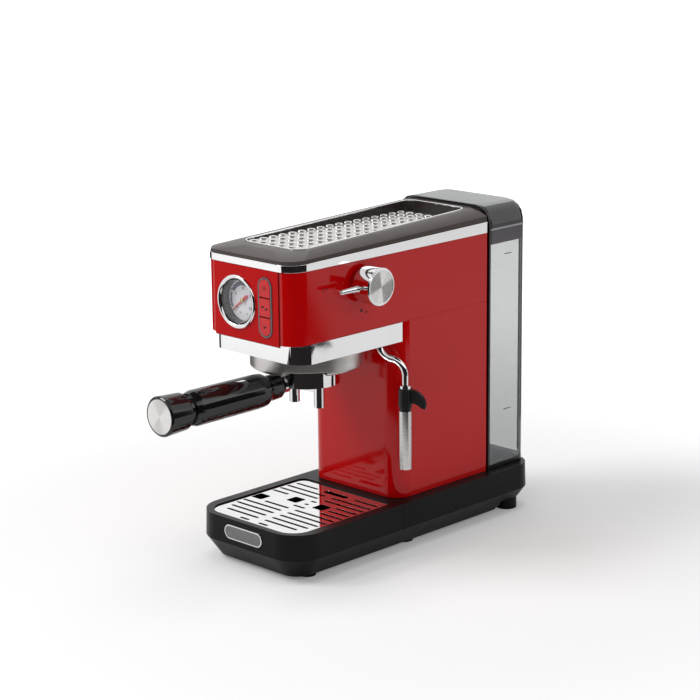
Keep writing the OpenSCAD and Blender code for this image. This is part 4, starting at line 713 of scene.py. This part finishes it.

# tank with a black block painted as shade in the gap under it, its rim and lid
tankLow, tankHigh = nodeBox("water_tank")
tankLook = {"gapShadeBottom": 0.35, "gapShadeTop": 5.2, "gapShadeEdge": 0.5, "skin": 0.12, "rearRadius": 13,
            "bandLow": 268, "edge": 0.4, "corner": 15, "cornerTurn": (0.2, 0.985),
            "rimLow": 281.6, "rimHigh": 283.2, "rimProud": 0.25, "rimWall": 0.9, "lidTop": 0.97}


def makeFoot(s):
    # painted shade: a black block fills the gap between the tank and the deck
    skin = s["skin"]
    deck = nodeBox("base_pan")[1].z
    bm = blockMesh(tankLow.x - skin, tankHigh.x + skin, tankLow.y + 0.1, tankHigh.y + skin,
                   deck + s["gapShadeBottom"], deck + s["gapShadeTop"], 0, s["rearRadius"])
    soften(bm, s["gapShadeEdge"], 2, 50)
    addPiece("tankGapShade", bm, "water_tank", "glossBlack")


def makeTank(s):
    # clear walls, painted shade on the rear corners and a shaded band under the lid
    bm = mergedCopy("water_tank")
    toDatum(bm)
    cutAt(bm, (0, 0, s["bandLow"]), (0, 0, 1))
    rear = max(v.co.y for v in bm.verts)
    least, most = s["cornerTurn"]
    for face in bm.faces:
        centre = face.calc_center_median()
        if centre.z > s["bandLow"]:
            face.material_index = 2
        # rear corners: painted shade on the clear walls
        elif centre.y > rear - s["corner"] and least < abs(face.normal.x) < most:
            face.material_index = 1
    soften(bm, s["edge"], 2, 40)
    piece = addPiece("waterTank", bm, "water_tank", "tankSmoke", ("water_tank",))
    for finish in ("tankCornerShade", "tankBand"):
        piece.data.materials.append(materials[finish])


def makeTankRim(s):
    proud = s["rimProud"]
    bm = blockMesh(tankLow.x - proud, tankHigh.x + proud, tankLow.y + 0.2, tankHigh.y + proud,
                   s["rimLow"], s["rimHigh"], 0, s["rearRadius"])
    flat = [f for f in bm.faces if abs(f.normal.z) > 0.9]
    bmesh.ops.delete(bm, geom=flat, context="FACES_ONLY")
    bmesh.ops.solidify(bm, geom=bm.faces[:], thickness=s["rimWall"])
    addPiece("tankRim", bm, "water_tank", "rimGrey")


def shadeLid(s):
    # pale top, and a painted dark reflection on the clear lid's shoulders
    mesh = bpy.data.objects["tank_lid_rounded"].data
    mesh.materials.append(materials["lidShade"])
    for polygon in mesh.polygons:
        if polygon.normal.z < s["lidTop"]:
            polygon.material_index = 1


makeFoot(tankLook)
makeTank(tankLook)
makeTankRim(tankLook)
shadeLid(tankLook)
print("marks, tank and lid made")

# stage
stageSettings = {"floorSize": 14, "floorColour": 0.8, "floorRough": 0.8, "floorLift": (0.17, 0.75),
                 "liftReach": (0.3, 1.1), "floorInMirrors": 0.25, "worldDiffuse": 0.45}


def seenFlat(tree, glossyShare):
    # one where a camera or glass ray looks, and a share of that in mirrors
    rays = tree.nodes.new("ShaderNodeLightPath")
    mirror = tree.nodes.new("ShaderNodeMath")
    mirror.operation = "MULTIPLY"
    mirror.inputs[1].default_value = glossyShare
    tree.links.new(rays.outputs["Is Glossy Ray"], mirror.inputs[0])
    value = rays.outputs["Is Camera Ray"]
    for other in (rays.outputs["Is Transmission Ray"], mirror.outputs["Value"]):
        either = tree.nodes.new("ShaderNodeMath")
        either.operation = "MAXIMUM"
        tree.links.new(value, either.inputs[0])
        tree.links.new(other, either.inputs[1])
        value = either.outputs["Value"]
    return value


def makeFloor(s):
    bm = bmesh.new()
    bmesh.ops.create_grid(bm, x_segments=2, y_segments=2, size=s["floorSize"])
    mesh = bpy.data.meshes.new("floor")
    bm.to_mesh(mesh)
    bm.free()
    floor = bpy.data.objects.new("floor", mesh)
    bpy.context.scene.collection.objects.link(floor)
    material, tree, shader = newMaterial("floorWhite")
    shader.inputs["Base Color"].default_value = (s["floorColour"], s["floorColour"], s["floorColour"], 1)
    shader.inputs["Roughness"].default_value = s["floorRough"]
    shader.inputs["Specular IOR Level"].default_value = 0
    glow = tree.nodes.new("ShaderNodeEmission")
    glow.inputs["Color"].default_value = (1, 1, 1, 1)
    # painted glow: the floor fades to white away from the machine, the glow weakest near it, so the ground
    # there and the machine's own shadow stay darker
    place = tree.nodes.new("ShaderNodeTexCoord")
    reach = tree.nodes.new("ShaderNodeVectorMath")
    reach.operation = "LENGTH"
    tree.links.new(place.outputs["Object"], reach.inputs[0])
    fade = tree.nodes.new("ShaderNodeMapRange")
    fade.interpolation_type = "SMOOTHSTEP"
    fade.inputs["From Min"].default_value, fade.inputs["From Max"].default_value = s["liftReach"]
    fade.inputs["To Min"].default_value, fade.inputs["To Max"].default_value = s["floorLift"]
    tree.links.new(reach.outputs["Value"], fade.inputs["Value"])
    lift = tree.nodes.new("ShaderNodeMath")
    lift.operation = "MULTIPLY"
    tree.links.new(seenFlat(tree, s["floorInMirrors"]), lift.inputs[0])
    tree.links.new(fade.outputs["Result"], lift.inputs[1])
    tree.links.new(lift.outputs["Value"], glow.inputs["Strength"])
    add = tree.nodes.new("ShaderNodeAddShader")
    tree.links.new(shader.outputs["BSDF"], add.inputs[0])
    tree.links.new(glow.outputs["Emission"], add.inputs[1])
    output = next(n for n in tree.nodes if n.type == "OUTPUT_MATERIAL")
    tree.links.new(add.outputs["Shader"], output.inputs["Surface"])
    mesh.materials.append(material)


def makeWorld(s):
    # white where looked at, dimmer as a light
    world = bpy.data.worlds.new("studio")
    bpy.context.scene.world = world
    world.use_nodes = True
    tree = world.node_tree
    tree.nodes.clear()
    output = tree.nodes.new("ShaderNodeOutputWorld")
    mix = tree.nodes.new("ShaderNodeMixShader")
    tree.links.new(seenFlat(tree, 1), mix.inputs["Fac"])
    for place, strength in enumerate((s["worldDiffuse"], 1.0)):
        backdrop = tree.nodes.new("ShaderNodeBackground")
        backdrop.inputs["Color"].default_value = (1, 1, 1, 1)
        backdrop.inputs["Strength"].default_value = strength
        tree.links.new(backdrop.outputs["Background"], mix.inputs[place + 1])
    tree.links.new(mix.outputs["Shader"], output.inputs["Surface"])


lamps = {
    "keyLamp": {"place": (-1.25, -1.5, 2.3), "target": (0, 0, 0.15), "size": (1.2, 1.2), "power": 44},
    "fillLamp": {"place": (1.9, 0.9, 1.3), "target": (0, 0, 0.15), "size": (1.6, 1.2), "power": 5},
    "topLamp": {"place": (0.1, 0.2, 2.2), "target": (0, 0, 0.1), "size": (1.4, 1.4), "power": 9},
}


def makeLamp(name, s):
    data = bpy.data.lights.new(name, "AREA")
    data.shape = "RECTANGLE"
    data.size, data.size_y = s["size"]
    data.energy = s["power"]
    lamp = bpy.data.objects.new(name, data)
    direction = (Vector(s["target"]) - Vector(s["place"])).normalized()
    turn = direction.to_track_quat("-Z", "Y").to_matrix().to_4x4()
    lamp.matrix_world = Matrix.Translation(s["place"]) @ turn
    bpy.context.scene.collection.objects.link(lamp)


# dark studio screens that only reflections see: a strip of floor that runs up into a wall
screens = {
    "cameraScreen": {"azimuth": 45, "spread": 56, "near": 0.42, "far": 0.95, "height": 0.62},
    "sideScreen": {"azimuth": 115, "spread": 14.5, "near": 0.83, "far": 1.3, "height": 0.6},
    "rearScreen": {"azimuth": 178, "spread": 15, "near": 0.5, "far": 0.95, "height": 0.5},
    "leftScreen": {"azimuth": 270, "spread": 15, "near": 0.5, "far": 0.95, "height": 0.5},
}
screenCloth = {"colour": (0.02, 0.018, 0.018, 1), "lift": 0.0015, "steps": 24}
ceilingLook = {"radius": 0.85, "height": 1.25, "sides": 48}


def hangScreen(name, bm):
    mesh = bpy.data.meshes.new(name)
    bm.to_mesh(mesh)
    bm.free()
    screen = bpy.data.objects.new(name, mesh)
    bpy.context.scene.collection.objects.link(screen)
    material, _, shader = newMaterial(name)
    shader.inputs["Base Color"].default_value = screenCloth["colour"]
    shader.inputs["Roughness"].default_value = 1
    shader.inputs["Specular IOR Level"].default_value = 0
    mesh.materials.append(material)
    screen.visible_camera = False
    screen.visible_diffuse = False
    screen.visible_shadow = False
    screen.visible_transmission = False


def makeScreen(name, s):
    bm = bmesh.new()
    turn = math.radians(s["azimuth"] - s["spread"])
    out = Vector((math.sin(turn), -math.cos(turn), 0))
    lift = Vector((0, 0, screenCloth["lift"]))
    profile = [out * s["near"] + lift, out * s["far"] + lift, out * s["far"] + Vector((0, 0, s["height"]))]
    points = [bm.verts.new(p) for p in profile]
    wires = [bm.edges.new(pair) for pair in zip(points, points[1:])]
    bmesh.ops.spin(bm, geom=points + wires, cent=(0, 0, 0), axis=(0, 0, 1),
                   angle=math.radians(2 * s["spread"]), steps=screenCloth["steps"])
    hangScreen(name, bm)


def makeCeiling(s):
    bm = bmesh.new()
    bmesh.ops.create_circle(bm, cap_ends=True, segments=s["sides"], radius=s["radius"],
                            matrix=Matrix.Translation((0, 0, s["height"])))
    hangScreen("ceilingScreen", bm)


makeFloor(stageSettings)
makeWorld(stageSettings)
for lampName, lampLook in lamps.items():
    makeLamp(lampName, lampLook)
for screenName, screenLook in screens.items():
    makeScreen(screenName, screenLook)
makeCeiling(ceilingLook)
print("stage set")
